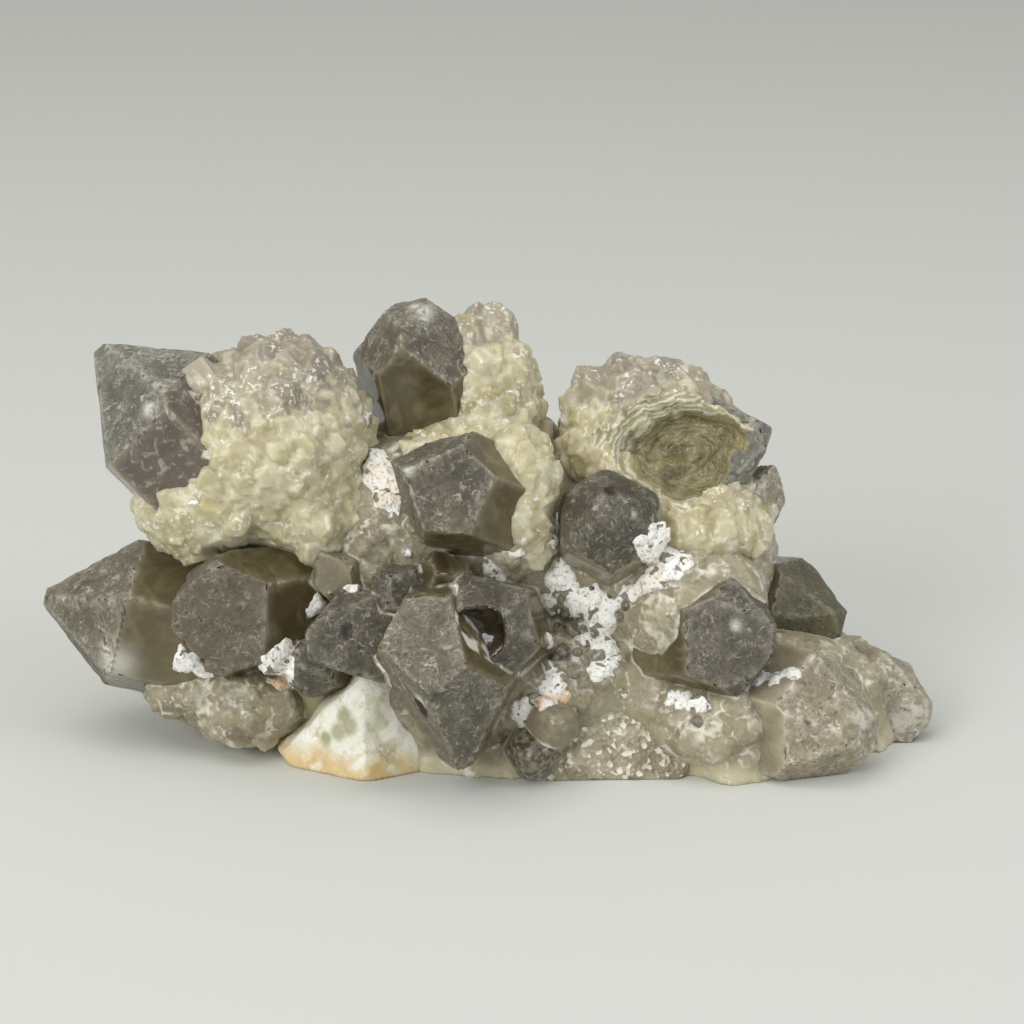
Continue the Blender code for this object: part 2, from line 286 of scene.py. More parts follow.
def skin(
    distance: Callable[[Array], Array],
    low: Array,
    high: Array,
    cell: float,
    grains: Optional[Grains] = None,
    trim: Optional[Callable[[Array], Array]] = None,
) -> Shape:
    """Draws the surface on which a distance is zero, one point for each cell that it crosses.

    Args:
        distance: gives the distance of places from the surface, below zero inside.
        low: lowest corner of the space looked at, in mm.
        high: highest corner.
        cell: width of a cell in mm.
        grains: small bodies that grow on it.
        trim: the distance from what is cut off all of it, above zero where it is cut.

    Returns:
        A closed shape of four-cornered faces.
    """
    count = np.ceil((np.array(high) - np.array(low)) / cell).astype(int) + 3
    ticks = [low[i] - cell + cell * np.arange(count[i]) for i in range(3)]
    grid = np.stack(np.meshgrid(*ticks, indexing="ij"), axis=-1).reshape(-1, 3)
    value = distance(grid).astype(np.float32).reshape(count)
    if grains is not None:
        grains.fill(value, ticks)
    if trim is not None:
        value = np.maximum(value, trim(grid).astype(np.float32).reshape(count))
    inside = value < 0.0
    corners = list(product((0, 1), repeat=3))

    def at(block: Array, corner: Sequence[int]) -> Array:
        """The block's values at one corner of every cell."""
        return block[tuple(slice(c, n - 1 + c) for c, n in zip(corner, count))]

    full = sum(at(inside, corner).astype(np.int8) for corner in corners)
    mixed = (full > 0) & (full < 8)
    label = np.full(mixed.shape, -1, np.int64)
    where = np.nonzero(mixed)
    label[where] = np.arange(len(where[0]))
    total = np.zeros((len(where[0]), 3), np.float32)
    hits = np.zeros(len(where[0]), np.float32)
    for first, second in product(corners, corners):
        step = np.subtract(second, first)
        if step.min() < 0 or step.sum() != 1:
            continue
        a, b = at(value, first)[where], at(value, second)[where]
        crossed = (a < 0.0) != (b < 0.0)
        share = np.where(crossed, a / np.where(crossed, a - b, 1.0), 0.0)
        total += np.where(crossed[:, None], np.array(first) + share[:, None] * step, 0.0)
        hits += crossed
    points = (np.stack(where, axis=1) + total / hits[:, None]) * cell + [t[0] for t in ticks]
    faces = []
    for axis in range(3):
        ahead = [slice(None)] * 3
        behind = [slice(None)] * 3
        ahead[axis], behind[axis] = slice(1, None), slice(None, -1)
        flips = inside[tuple(ahead)] != inside[tuple(behind)]
        u, v = (axis + 1) % 3, (axis + 2) % 3
        spot = np.stack(np.nonzero(flips), axis=1)
        spot = spot[(spot[:, u] > 0) & (spot[:, v] > 0)]
        outward = inside[tuple(spot.T)]
        ring = []
        for du, dv in ((-1, -1), (0, -1), (0, 0), (-1, 0)):
            near = spot.copy()
            near[:, u] += du
            near[:, v] += dv
            ring.append(label[tuple(near.T)])
        quad = np.stack(ring, axis=1)
        faces.append(np.where(outward[:, None], quad, quad[:, ::-1]))
    face = np.concatenate(faces)
    return Shape(points, face, np.zeros(len(face), np.int32))


# Looks: colours, nodes and finishes


def linear(code: str) -> tuple[float, float, float, float]:
    """Turns an sRGB hex colour to linear light.

    Args:
        code: six hex digits after a #.

    Returns:
        Red, green, blue and an alpha of 1.
    """
    parts = [int(code[i : i + 2], 16) / 255.0 for i in (1, 3, 5)]
    red, green, blue = (p / 12.92 if p <= 0.04045 else ((p + 0.055) / 1.055) ** 2.4 for p in parts)
    return red, green, blue, 1.0


def per_mm(size: float) -> float:
    """The scale of a pattern whose marks are size mm wide."""
    return 1.0 / (size * MM)


Socket = bpy.types.NodeSocket


class Kind(Enum):
    """The nodes that the finishes are made of: Blender's name, and the settings that each always has."""

    PLACE = ("ShaderNodeTexCoord", {})
    STRETCH = ("ShaderNodeMapping", {})
    NOISE = ("ShaderNodeTexNoise", {})
    SPARS = ("ShaderNodeTexVoronoi", {})
    CHANNELS = ("ShaderNodeSeparateColor", {})
    MARK = ("ShaderNodeAttribute", {})  # a number that the mesh carries at each point
    RANGE = ("ShaderNodeMapRange", {"clamp": True})
    PLUS = ("ShaderNodeMath", {"operation": "ADD"})
    MINUS = ("ShaderNodeMath", {"operation": "SUBTRACT"})
    TIMES = ("ShaderNodeMath", {"operation": "MULTIPLY"})
    LARGER = ("ShaderNodeMath", {"operation": "MAXIMUM"})
    SIZE = ("ShaderNodeMath", {"operation": "ABSOLUTE"})
    SINE = ("ShaderNodeMath", {"operation": "SINE"})
    MIX = ("ShaderNodeMix", {"data_type": "RGBA"})
    BUMP = ("ShaderNodeBump", {})
    SURFACE = ("ShaderNodeBsdfPrincipled", {})
    OUTPUT = ("ShaderNodeOutputMaterial", {})


@dataclass
class Palette:
    """The nodes of one material."""

    tree: bpy.types.NodeTree
    place: Socket = field(init=False)

    def __post_init__(self) -> None:
        """Starts from the piece's own coordinates, in metres."""
        self.tree.nodes.clear()
        self.place = self.add(Kind.PLACE).outputs["Object"]

    def add(self, kind: Kind, *values: object, **named: object) -> bpy.types.Node:
        """Adds a node with its settings and links.

        Args:
            kind: which node.
            values: for its sockets in turn, a number, a vector, a hex colour or what feeds it.
            named: the same for a socket by its name, or a setting of the node itself.

        Returns:
            The node. It feeds another one by its output Fac, or else by its first output in use.
        """
        name, settings = kind.value
        made = self.tree.nodes.new(name)
        inputs = {key: value for key, value in named.items() if key in made.inputs}
        for key, value in {**settings, **named}.items():
            if key not in inputs:
                setattr(made, key, value)
        in_use = [socket for socket in made.inputs if socket.enabled]
        pairs = [*zip(in_use, values), *((made.inputs[key], value) for key, value in inputs.items())]
        for socket, value in pairs:
            if isinstance(value, bpy.types.Node):
                value = value.outputs.get("Fac") or next(out for out in value.outputs if out.enabled)
            if isinstance(value, Socket):
                self.tree.links.new(value, socket)
            else:
                socket.default_value = linear(value) if isinstance(value, str) else value
        return made

    def lines(self, noise: bpy.types.Node, width: float) -> bpy.types.Node:
        """Thin winding lines where a noise passes its middle: 1 on a line, 0 off it."""
        away = self.add(Kind.SIZE, self.add(Kind.MINUS, noise, 0.5))
        return self.add(Kind.RANGE, away, width * 0.3, width, 1.0, 0.0)

    def jointed(self, ground: bpy.types.Node) -> bpy.types.Node:
        """Lays a thin broken line of white feldspar along the joints with other crystals.

        Args:
            ground: the colour under it.

        Returns:
            The colour with the line on it.
        """
        near = self.add(Kind.RANGE, self.add(Kind.MARK, attribute_name="joint"), 0.12, 0.5, 1.0, 0.0)
        broken = self.add(Kind.RANGE, self.add(Kind.NOISE, self.place, per_mm(3.5), 4.0), 0.46, 0.56)
        return self.add(Kind.MIX, self.add(Kind.TIMES, near, broken), ground, JOINT_WHITE)

    def finish(
        self,
        colour: object,
        rough: object,
        relief: object,
        depth: float,
        glow: float,
        reach: float,
        tint: Vec3,
        clear: float = 0.0,
        ior: float = QUARTZ_IOR,
    ) -> None:
        """Sets the surface: a stone that light enters a little way.

        Args:
            colour: what gives its colour.
            rough: what gives its roughness.
            relief: the height of the fine relief, 0 to 1.
            depth: how deep that is in mm.
            glow: the share of light that is scattered inside.
            reach: how far it goes there in mm.
            tint: how far red, green and blue go, each as a share of that.
            clear: the share that goes straight through.
            ior: how strongly the stone bends light.
        """
        normal = self.add(Kind.BUMP, Height=relief, Distance=depth * MM, Strength=1.0)
        look = {
            "Base Color": colour,
            "Roughness": rough,
            "IOR": ior,
            "Transmission Weight": clear,
            "Subsurface Weight": glow,
            "Subsurface Radius": tint,
            "Subsurface Scale": reach * MM,
            "Normal": normal,
        }
        self.add(Kind.OUTPUT, self.add(Kind.SURFACE, **look))


class Finish:
    """One material: what it is and how its surface was made."""

    name = "quartz"

    def paint(self, p: Palette) -> None:
        """Adds the nodes."""
        raise NotImplementedError

    def material(self) -> bpy.types.Material:
        """The material, made once and then shared.

        Returns:
            The material with its nodes.
        """
        found = bpy.data.materials.get(self.name)
        if found is None:
            found = bpy.data.materials.new(self.name)
            found.use_nodes = True
            self.paint(Palette(found.node_tree))
        return found


@dataclass(frozen=True)
class FrostedHead(Finish):
    """Smoky quartz, naturally etched: dull heads under fine winding pale lines and specks."""

    name: str = "etched_smoky_quartz"
    dark: str = "#524C40"
    light: str = "#7D7665"
    pale: str = "#C2BDAA"
    etch: float = 1.1  # width of the etch figures, drawn a little coarser than the real 0.5 mm
    strength: float = 0.68
    # painted shade in the etch pits
    pit_shade: str = "#3F3B31"

    def paint(self, p: Palette) -> None:
        """Cloudy ground, etch pits painted dark as shade in them, pale worn edges, and winding etch lines at
        two sizes.

        Args:
            p: the nodes of this material.
        """
        cloud = p.add(
            Kind.PLUS,
            p.add(Kind.NOISE, p.place, per_mm(5.0), 4.0, Distortion=0.6),
            p.add(Kind.TIMES, p.add(Kind.MARK, attribute_name="tone"), 0.5),
        )
        ground = p.add(Kind.MIX, p.add(Kind.RANGE, cloud, 0.36, 0.68), self.dark, self.light)
        ground = p.add(
            Kind.MIX,
            p.add(
                Kind.RANGE, p.add(Kind.NOISE, p.place, per_mm(0.8), 4.0, Distortion=0.5), 0.38, 0.62, 0.0, 0.7
            ),
            ground,
            self.dark,
        )
        coarse = p.add(
            Kind.TIMES,
            p.add(
                Kind.RANGE,
                p.add(Kind.NOISE, p.place, per_mm(self.etch * 0.9), 4.0, Distortion=0.6),
                0.55,
                0.64,
            ),
            0.8,
        )
        fine = p.lines(p.add(Kind.NOISE, p.place, per_mm(self.etch * 0.9), 1.0, Distortion=1.4), 0.05)
        where = p.add(Kind.RANGE, p.add(Kind.NOISE, p.place, per_mm(2.6), 4.0, Distortion=0.8), 0.42, 0.6)
        etched = p.add(Kind.TIMES, p.add(Kind.LARGER, coarse, p.add(Kind.TIMES, fine, 0.5)), where)
        scratch = p.add(
            Kind.TIMES,
            p.lines(p.add(Kind.NOISE, p.place, per_mm(3.6), 1.0, Distortion=1.0), 0.025),
            p.add(Kind.RANGE, p.add(Kind.NOISE, p.place, per_mm(2.4), 3.0), 0.54, 0.62),
        )
        etched = p.add(Kind.LARGER, etched, scratch)
        # Pits sunk in the bump and painted dark: painted shade in them.
        shaded_pits = p.add(Kind.RANGE, p.add(Kind.NOISE, p.place, per_mm(0.7), 2.0), 0.3, 0.4, 1.0, 0.0)
        ground = p.add(Kind.MIX, p.add(Kind.TIMES, shaded_pits, 0.6), ground, self.pit_shade)
        ground = p.add(Kind.MIX, p.add(Kind.TIMES, etched, self.strength), ground, self.pale)
        worn = p.add(
            Kind.TIMES,
            p.add(Kind.MARK, attribute_name="edge"),
            p.add(Kind.RANGE, p.add(Kind.NOISE, p.place, per_mm(1.3), 2.0), 0.35, 0.65),
        )
        ground = p.add(Kind.MIX, p.add(Kind.TIMES, worn, 0.55), ground, self.pale)
        # White frost, and at some spots a painted glint.
        white = p.add(
            Kind.TIMES,
            p.add(Kind.MARK, attribute_name="white"),
            p.add(Kind.RANGE, p.add(Kind.NOISE, p.place, per_mm(1.6), 4.0, Distortion=0.8), 0.34, 0.52),
        )
        ground = p.jointed(p.add(Kind.MIX, p.add(Kind.TIMES, white, 0.9), ground, FROST_AND_GLINT_WHITE))
        height = p.add(
            Kind.PLUS,
            p.add(Kind.TIMES, etched, 0.35),
            p.add(Kind.MINUS, p.add(Kind.NOISE, p.place, per_mm(0.6), 3.0), p.add(Kind.TIMES, shaded_pits, 0.5)),
        )
        p.finish(
            ground,
            p.add(Kind.RANGE, etched, 0.0, 1.0, 0.56, 0.36),
            height,
            0.16,
            glow=0.15,
            reach=1.0,
            tint=(1.0, 0.9, 0.7),
        )


@dataclass(frozen=True)
class SmokySide(Finish):
    """Smoky quartz, smooth as grown: glassy side faces that look deep and a little cloudy."""

    name: str = "smooth_smoky_quartz"
    brown: str = "#5C5038"
    olive: str = "#776D4B"
    haze: str = "#9C9471"
    cream: str = "#BBB489"
    polish: float = 0.14  # least roughness
    blotch: float = 0.0  # how strongly pale spots show
    spot: str = "#B5ADA2"
    worn: str = "#C2BAA0"

    def paint(self, p: Palette) -> None:
        """Brown by the shoulder, olive lower down, cream at the root, with hazy clouds inside.

        Args:
            p: the nodes of this material.
        """
        wave = p.add(
            Kind.TIMES,
            p.add(Kind.MINUS, p.add(Kind.NOISE, p.place, per_mm(7.0), 2.0, Distortion=0.4), 0.5),
            6.0,
        )
        down = p.add(Kind.PLUS, p.add(Kind.MARK, attribute_name="run"), wave)
        colour = p.add(Kind.MIX, p.add(Kind.RANGE, down, 0.0, 8.0), self.brown, self.olive)
        colour = p.add(Kind.MIX, p.add(Kind.RANGE, down, 8.0, 17.0, 0.0, 0.85), colour, self.cream)
        cloud = p.add(
            Kind.TIMES,
            p.add(Kind.RANGE, p.add(Kind.NOISE, p.place, per_mm(4.0), 4.0, Distortion=1.2), 0.48, 0.75),
            p.add(Kind.RANGE, p.add(Kind.MARK, attribute_name="tone"), -0.5, 1.0, 0.3, 1.0),
        )
        colour = p.add(Kind.MIX, cloud, colour, self.haze)
        spots = p.add(
            Kind.RANGE,
            p.add(Kind.NOISE, p.place, per_mm(1.7), 4.0, Distortion=1.4),
            0.55,
            0.66,
            0.0,
            self.blotch,
        )
        colour = p.add(Kind.MIX, spots, colour, self.spot)
        colour = p.add(
            Kind.MIX, p.add(Kind.TIMES, p.add(Kind.MARK, attribute_name="edge"), 0.35), colour, self.worn
        )
        # White frost, and at some spots a painted glint.
        white = p.add(Kind.TIMES, p.add(Kind.MARK, attribute_name="white"), 0.8)
        colour = p.jointed(p.add(Kind.MIX, white, colour, FROST_AND_GLINT_WHITE))
        steps = p.add(
            Kind.NOISE, p.add(Kind.STRETCH, p.place, Scale=(1.0, 1.0, 4.0)), per_mm(0.9), 2.0, Distortion=0.2
        )
        p.finish(
            colour,
            p.add(
                Kind.RANGE,
                p.add(Kind.NOISE, p.place, per_mm(2.5), 3.0),
                0.4,
                0.7,
                self.polish,
                self.polish + 0.14,
            ),
            steps,
            0.02,
            glow=0.4,
            reach=3.0,
            tint=(1.0, 0.85, 0.5),
            clear=0.2,
        )


@dataclass(frozen=True)
class Druse(Finish):
    """Drusy quartz: a crust of small clear crystals, cream where they crowd, each a little lighter or darker
    than the next.
    """

    name: str = "drusy_quartz"
    deep: str = "#B0A67C"
    cream: str = "#D2C9A2"
    lilac: str = "#9C9286"
    bright: str = "#E6DFC2"
    valley: str = "#F2EDD6"
    glint: str = "#FFFEF4"

    def paint(self, p: Palette) -> None:
        """Cream light from within, lilac-grey in patches, pale seams, and small bright glints.

        Args:
            p: the nodes of this material.
        """
        ground = p.add(
            Kind.MIX,
            p.add(Kind.RANGE, p.add(Kind.NOISE, p.place, per_mm(7.0), 3.0, Distortion=0.5), 0.35, 0.65),
            self.deep,
            self.cream,
        )
        ground = p.add(
            Kind.MIX,
            p.add(Kind.RANGE, p.add(Kind.MARK, attribute_name="pick"), 0.2, 1.0, 0.0, 0.75),
            ground,
            self.bright,
        )
        ground = p.add(
            Kind.MIX,
            p.add(
                Kind.TIMES,
                p.add(Kind.MARK, attribute_name="clear"),
                p.add(Kind.RANGE, p.add(Kind.MARK, attribute_name="pick"), 0.0, 1.0, 1.0, 0.6),
            ),
            ground,
            self.lilac,
        )
        valley = p.add(Kind.RANGE, p.add(Kind.MARK, attribute_name="seam"), 0.0, 0.35, 0.5, 0.0)
        ground = p.add(
            Kind.MIX,
            valley,
            ground,
            p.add(
                Kind.MIX,
                p.add(Kind.RANGE, p.add(Kind.NOISE, p.place, per_mm(3.0), 2.0), 0.4, 0.6),
                self.deep,
                self.valley,
            ),
        )
        # Painted glints: small white flecks of colour standing for light caught by the crystals' faces, a
        # little glossier there too.
        painted_glint = p.add(
            Kind.TIMES,
            p.add(Kind.RANGE, p.add(Kind.NOISE, p.place, per_mm(0.9), 3.0, Distortion=1.2), 0.57, 0.62),
            p.add(Kind.RANGE, p.add(Kind.NOISE, p.place, per_mm(5.0), 3.0, Distortion=0.4), 0.42, 0.56),
        )
        ground = p.add(Kind.MIX, p.add(Kind.TIMES, painted_glint, 0.9), ground, self.glint)
        p.finish(
            ground,
            p.add(Kind.RANGE, painted_glint, 0.0, 1.0, 0.3, 0.12),
            p.add(Kind.NOISE, p.place, per_mm(0.6), 3.0),
            0.06,
            glow=0.65,
            reach=3.5,
            tint=(1.0, 0.92, 0.62),
            clear=0.12,
        )


@dataclass(frozen=True)
class WhiteFeldspar(Finish):
    """Weathered feldspar: chalky white and porous, with a warm stain in places."""

    name: str = "chalky_white_feldspar"
    shaded: str = "#F0E9D6"
    chalk: str = "#FFFEF8"
    peach: str = "#E6C49A"
    # painted shade in the pores
    pore: str = "#9A8D73"
    held: str = "#6F6757"

    def paint(self, p: Palette) -> None:
        """White with cream hollows, pores painted darker as shade in them, and a peach stain.

        Args:
            p: the nodes of this material.
        """
        ground = p.add(
            Kind.MIX,
            p.add(Kind.RANGE, p.add(Kind.NOISE, p.place, per_mm(1.2), 4.0, Distortion=0.4), 0.3, 0.5),
            self.shaded,
            self.chalk,
        )
        ground = p.add(
            Kind.MIX,
            p.add(
                Kind.TIMES,
                p.add(Kind.MARK, attribute_name="stain"),
                p.add(Kind.RANGE, p.add(Kind.NOISE, p.place, per_mm(2.5), 2.0), 0.3, 0.6),
            ),
            ground,
            self.peach,
        )
        # Pores sunk in the bump and painted darker: painted shade in them.
        shaded_pits = p.add(Kind.RANGE, p.add(Kind.NOISE, p.place, per_mm(0.55), 2.0), 0.3, 0.4, 1.0, 0.0)
        ground = p.add(Kind.MIX, p.add(Kind.TIMES, shaded_pits, 0.4), ground, self.pore)
        held = p.add(Kind.RANGE, p.add(Kind.NOISE, p.place, per_mm(2.0), 1.0, Distortion=0.5), 0.61, 0.64)
        ground = p.add(Kind.MIX, p.add(Kind.TIMES, held, 0.85), ground, self.held)
        p.finish(
            ground,
            0.7,
            p.add(Kind.MINUS, p.add(Kind.NOISE, p.place, per_mm(0.5), 3.0), shaded_pits),
            0.3,
            glow=0.25,
            reach=1.0,
            tint=(1.0, 0.9, 0.75),
            ior=FELDSPAR_IOR,
        )


@dataclass(frozen=True)
class GrainedQuartz(Finish):
    """Massive quartz: grey-beige blocky crystals, a little clear, with thin white seams between them."""

    name: str = "blocky_grey_quartz"
    cool_dark: str = "#7D7460"
    cool_light: str = "#A59B83"
    warm_dark: str = "#958A71"
    warm_light: str = "#B8AE94"
    olive: str = "#A9A582"
    fleck: str = "#D6CFB9"
    foot: str = "#DDD5B2"
    vein: str = "#F1ECDC"

    def paint(self, p: Palette) -> None:
        """Each crystal has its own grey or beige, the seams are pale, and the foot is cream.

        Args:
            p: the nodes of this material.
        """
        cool = p.add(Kind.MIX, p.add(Kind.MARK, attribute_name="pick"), self.cool_dark, self.cool_light)
        warm = p.add(Kind.MIX, p.add(Kind.MARK, attribute_name="pick"), self.warm_dark, self.warm_light)
        grain = p.add(Kind.MIX, p.add(Kind.MARK, attribute_name="warm"), cool, warm)
        grain = p.add(
            Kind.MIX,
            p.add(
                Kind.RANGE, p.add(Kind.NOISE, p.place, per_mm(3.0), 4.0, Distortion=0.8), 0.42, 0.7, 0.0, 0.6
            ),
            grain,
            self.olive,
        )
        grain = p.add(
            Kind.MIX,
            p.add(
                Kind.RANGE, p.add(Kind.NOISE, p.place, per_mm(1.0), 4.0, Distortion=0.8), 0.5, 0.75, 0.0, 0.4
            ),
            grain,
            self.fleck,
        )
        grain = p.add(
            Kind.MIX, p.add(Kind.TIMES, p.add(Kind.MARK, attribute_name="foot"), 0.8), grain, self.foot
        )
        seam = p.add(
            Kind.TIMES,
            p.add(Kind.RANGE, p.add(Kind.MARK, attribute_name="seam"), 0.05, 0.24, 0.8, 0.0),
            p.add(Kind.RANGE, p.add(Kind.NOISE, p.place, per_mm(4.0), 3.0), 0.38, 0.54),
        )
        colour = p.jointed(p.add(Kind.MIX, seam, grain, self.vein))
        p.finish(
            colour,
            p.add(Kind.RANGE, p.add(Kind.NOISE, p.place, per_mm(1.5), 3.0), 0.35, 0.7, 0.2, 0.42),
            p.add(Kind.NOISE, p.place, per_mm(0.6), 3.0),
            0.08,
            glow=0.55,
            reach=3.0,
            tint=(1.0, 0.88, 0.65),
            clear=0.1,
        )


@dataclass(frozen=True)
class MilkyQuartz(Finish):
    """Milky quartz, broken: cream to white with greenish depths and a silky break."""

    name: str = "broken_milky_quartz"
    green: str = "#CFCBAC"
    milk: str = "#F2F0E2"
    white: str = "#FCFAF0"
    olive: str = "#A5A27C"
    cream: str = "#EFE6BD"
    ochre: str = "#E0C48F"

    def paint(self, p: Palette) -> None:
        """White clouds over green-grey, a cream ridge painted as a highlight, and ochre by the foot.

        Args:
            p: the nodes of this material.
        """
        ground = p.add(
            Kind.MIX,
            p.add(Kind.RANGE, p.add(Kind.NOISE, p.place, per_mm(5.0), 4.0, Distortion=1.0), 0.32, 0.52),
            self.green,
            self.milk,
        )
        ground = p.add(
            Kind.MIX,
            p.add(Kind.RANGE, p.add(Kind.NOISE, p.place, per_mm(1.4), 3.0, Distortion=1.5), 0.5, 0.66),
            ground,
            self.white,
        )
        ground = p.add(
            Kind.MIX,
            p.add(Kind.RANGE, p.add(Kind.MARK, attribute_name="olive"), 0.3, 0.75, 0.0, 0.8),
            ground,
            self.olive,
        )
        # Painted highlight: cream along the ridge between the two broken faces.
        ground = p.add(
            Kind.MIX,
            p.add(Kind.RANGE, p.add(Kind.MARK, attribute_name="ridge"), 0.3, 0.8, 0.0, 0.8),
            ground,
            self.cream,
        )
        ground = p.add(
            Kind.MIX,
            p.add(
                Kind.TIMES,
                p.add(Kind.MARK, attribute_name="stain"),
                p.add(Kind.RANGE, p.add(Kind.NOISE, p.place, per_mm(3.0), 3.0), 0.3, 0.55),
            ),
            ground,
            self.ochre,
        )
        p.finish(
            ground,
            0.34,
            p.add(Kind.NOISE, p.place, per_mm(0.9), 4.0, Distortion=0.8),
            0.16,
            glow=0.55,
            reach=3.0,
            tint=(1.0, 0.9, 0.65),
        )


@dataclass(frozen=True)
class SparryQuartz(Finish):
    """Granular quartz, freshly broken: countless small bright faces, like coarse sugar."""

    name: str = "granular_quartz_break"
    dark: str = "#8F866D"
    light: str = "#B2AA91"
    bright: str = "#E9E4D2"
    gap: str = "#7A725C"

    def paint(self, p: Palette) -> None:
        """Grey-beige sugar with pale specks.

        Args:
            p: the nodes of this material.
        """
        sugar = p.add(Kind.SPARS, p.place, per_mm(0.8))
        speck = p.add(Kind.RANGE, p.add(Kind.CHANNELS, sugar.outputs["Color"]), 0.0, 1.0)
        ground = p.add(
            Kind.MIX,
            p.add(Kind.RANGE, p.add(Kind.NOISE, p.place, per_mm(3.0), 3.0), 0.35, 0.65),
            self.dark,
            self.light,
        )
        ground = p.add(Kind.MIX, p.add(Kind.RANGE, speck, 0.75, 0.9), ground, self.bright)
        ground = p.add(Kind.MIX, p.add(Kind.RANGE, speck, 0.0, 0.16, 0.6, 0.0), ground, self.gap)
        p.finish(
            ground,
            p.add(Kind.RANGE, speck, 0.0, 1.0, 0.15, 0.5),
            sugar.outputs["Distance"],
            0.35,
            glow=0.4,
            reach=1.5,
            tint=(1.0, 0.9, 0.7),
        )


@dataclass(frozen=True)
class BandedBreak(Finish):
    """A broken smoky crystal: glassy olive inside, with pale growth bands round the rim."""

    name: str = "banded_quartz_break"
    deep: str = "#736B49"
    olive: str = "#A3996F"
    haze: str = "#B3AB88"
    band_dark: str = "#BDB58A"
    band_pale: str = "#F3F0DE"

    def paint(self, p: Palette) -> None:
        """Bands follow the rim, thin and flaky, and the middle is deep olive brown.

        Args:
            p: the nodes of this material.
        """
        ring = p.add(
            Kind.PLUS,
            p.add(Kind.MARK, attribute_name="ring"),
            p.add(Kind.TIMES, p.add(Kind.NOISE, p.place, per_mm(3.0), 4.0, Distortion=0.6), 0.3),
        )
        wave = p.add(Kind.RANGE, p.add(Kind.SINE, p.add(Kind.TIMES, ring, 70.0)), -0.6, 0.8)
        inside = p.add(
            Kind.MIX,
            p.add(Kind.RANGE, p.add(Kind.NOISE, p.place, per_mm(4.0), 4.0, Distortion=1.0), 0.35, 0.65),
            self.deep,
            self.olive,
        )
        inside = p.add(
            Kind.MIX,
            p.add(
                Kind.RANGE, p.add(Kind.NOISE, p.place, per_mm(1.4), 4.0, Distortion=1.6), 0.55, 0.7, 0.0, 0.6
            ),
            inside,
            self.haze,
        )
        band = p.add(Kind.MIX, wave, self.band_dark, self.band_pale)
        colour = p.add(Kind.MIX, p.add(Kind.RANGE, ring, 0.66, 0.8), inside, band)
        p.finish(
            colour,
            p.add(Kind.RANGE, ring, 0.6, 0.9, 0.16, 0.4),
            p.add(
                Kind.PLUS,
                p.add(Kind.NOISE, p.place, per_mm(1.4), 4.0, Distortion=1.0),
                p.add(Kind.TIMES, wave, 0.3),
            ),
            0.35,
            glow=0.4,
            reach=2.0,
            tint=(1.0, 0.85, 0.5),
            clear=0.15,
        )


@dataclass(frozen=True)
class DarkGrain(Finish):
    """Smoky quartz grains, rounded as grown: dark and glassy in the white feldspar."""

    name: str = "dark_smoky_grain"
    dark: str = "#4A4438"
    light: str = "#968D79"
    haze: str = "#ABA28C"

    def paint(self, p: Palette) -> None:
        """From near black to grey-brown, a shade for each grain.

        Args:
            p: the nodes of this material.
        """
        colour = p.add(Kind.MIX, p.add(Kind.MARK, attribute_name="pick"), self.dark, self.light)
        p.finish(
            p.add(
                Kind.MIX,
                p.add(Kind.RANGE, p.add(Kind.NOISE, p.place, per_mm(0.9), 3.0), 0.4, 0.8),
                colour,
                self.haze,
            ),
            0.24,
            p.add(Kind.NOISE, p.place, per_mm(0.5), 2.0),
            0.04,
            glow=0.2,
            reach=1.0,
            tint=(1.0, 0.9, 0.7),
            clear=0.15,
        )


@dataclass(frozen=True)
class PaleCrystal(Finish):
    """Milky beige quartz with a satin skin: the great pale crystals at the right."""

    name: str = "satin_beige_quartz"
    dark: str = "#90866C"
    light: str = "#B3A98E"
    mottle: str = "#8C8473"
    worn: str = "#DAD3BF"

    def paint(self, p: Palette) -> None:
        """Beige with soft streaks, mottled grey on its heads.

        Args:
            p: the nodes of this material.
        """
        ground = p.add(
            Kind.MIX,
            p.add(Kind.RANGE, p.add(Kind.NOISE, p.place, per_mm(6.0), 3.0, Distortion=0.6), 0.35, 0.65),
            self.dark,
            self.light,
        )
        ground = p.add(
            Kind.MIX,
            p.add(
                Kind.RANGE, p.add(Kind.NOISE, p.place, per_mm(1.0), 4.0, Distortion=0.8), 0.5, 0.7, 0.0, 0.5
            ),
            ground,
            self.mottle,
        )
        ground = p.jointed(
            p.add(
                Kind.MIX, p.add(Kind.TIMES, p.add(Kind.MARK, attribute_name="edge"), 0.5), ground, self.worn
            ),
        )
        p.finish(
            ground,
            p.add(Kind.RANGE, p.add(Kind.NOISE, p.place, per_mm(2.0), 2.0), 0.4, 0.7, 0.2, 0.4),
            p.add(Kind.NOISE, p.place, per_mm(0.7), 3.0),
            0.05,
            glow=0.5,
            reach=3.0,
            tint=(1.0, 0.88, 0.66),
            clear=0.15,
        )


FROSTED = FrostedHead()
DARK_HEAD = FrostedHead("etched_dark_quartz", "#433E34", "#686153", "#B0AB99", 1.0)
BROWN_HEAD = FrostedHead("etched_brown_quartz", "#585040", "#766C5B", "#ACA392", 0.9, 0.65)
OLIVE_HEAD = FrostedHead("etched_olive_quartz", "#4A4632", "#69644B", "#9B977C", 1.2, 0.6)
PALE_HEAD = FrostedHead("etched_pale_quartz", "#5E5A4F", "#8B887E", "#CBC8BB", 1.2)
MOTTLED = FrostedHead("etched_milky_quartz", "#857B65", "#B3A88F", "#E6E1D2", 1.6, 0.8)
SMOKY = SmokySide()
GLASSY = SmokySide("glassy_brown_quartz", "#52472F", "#6E6345", "#938A66", "#ACA57C", 0.08)
MAUVE = SmokySide("hazy_mauve_quartz", "#5E544A", "#72685A", "#91877B", "#B3AD8B", 0.2, 0.7)
CLOUDED = SmokySide("clouded_grey_quartz", "#8A816A", "#979072", "#B1AA8E", "#C0B998", 0.16, 0.3)
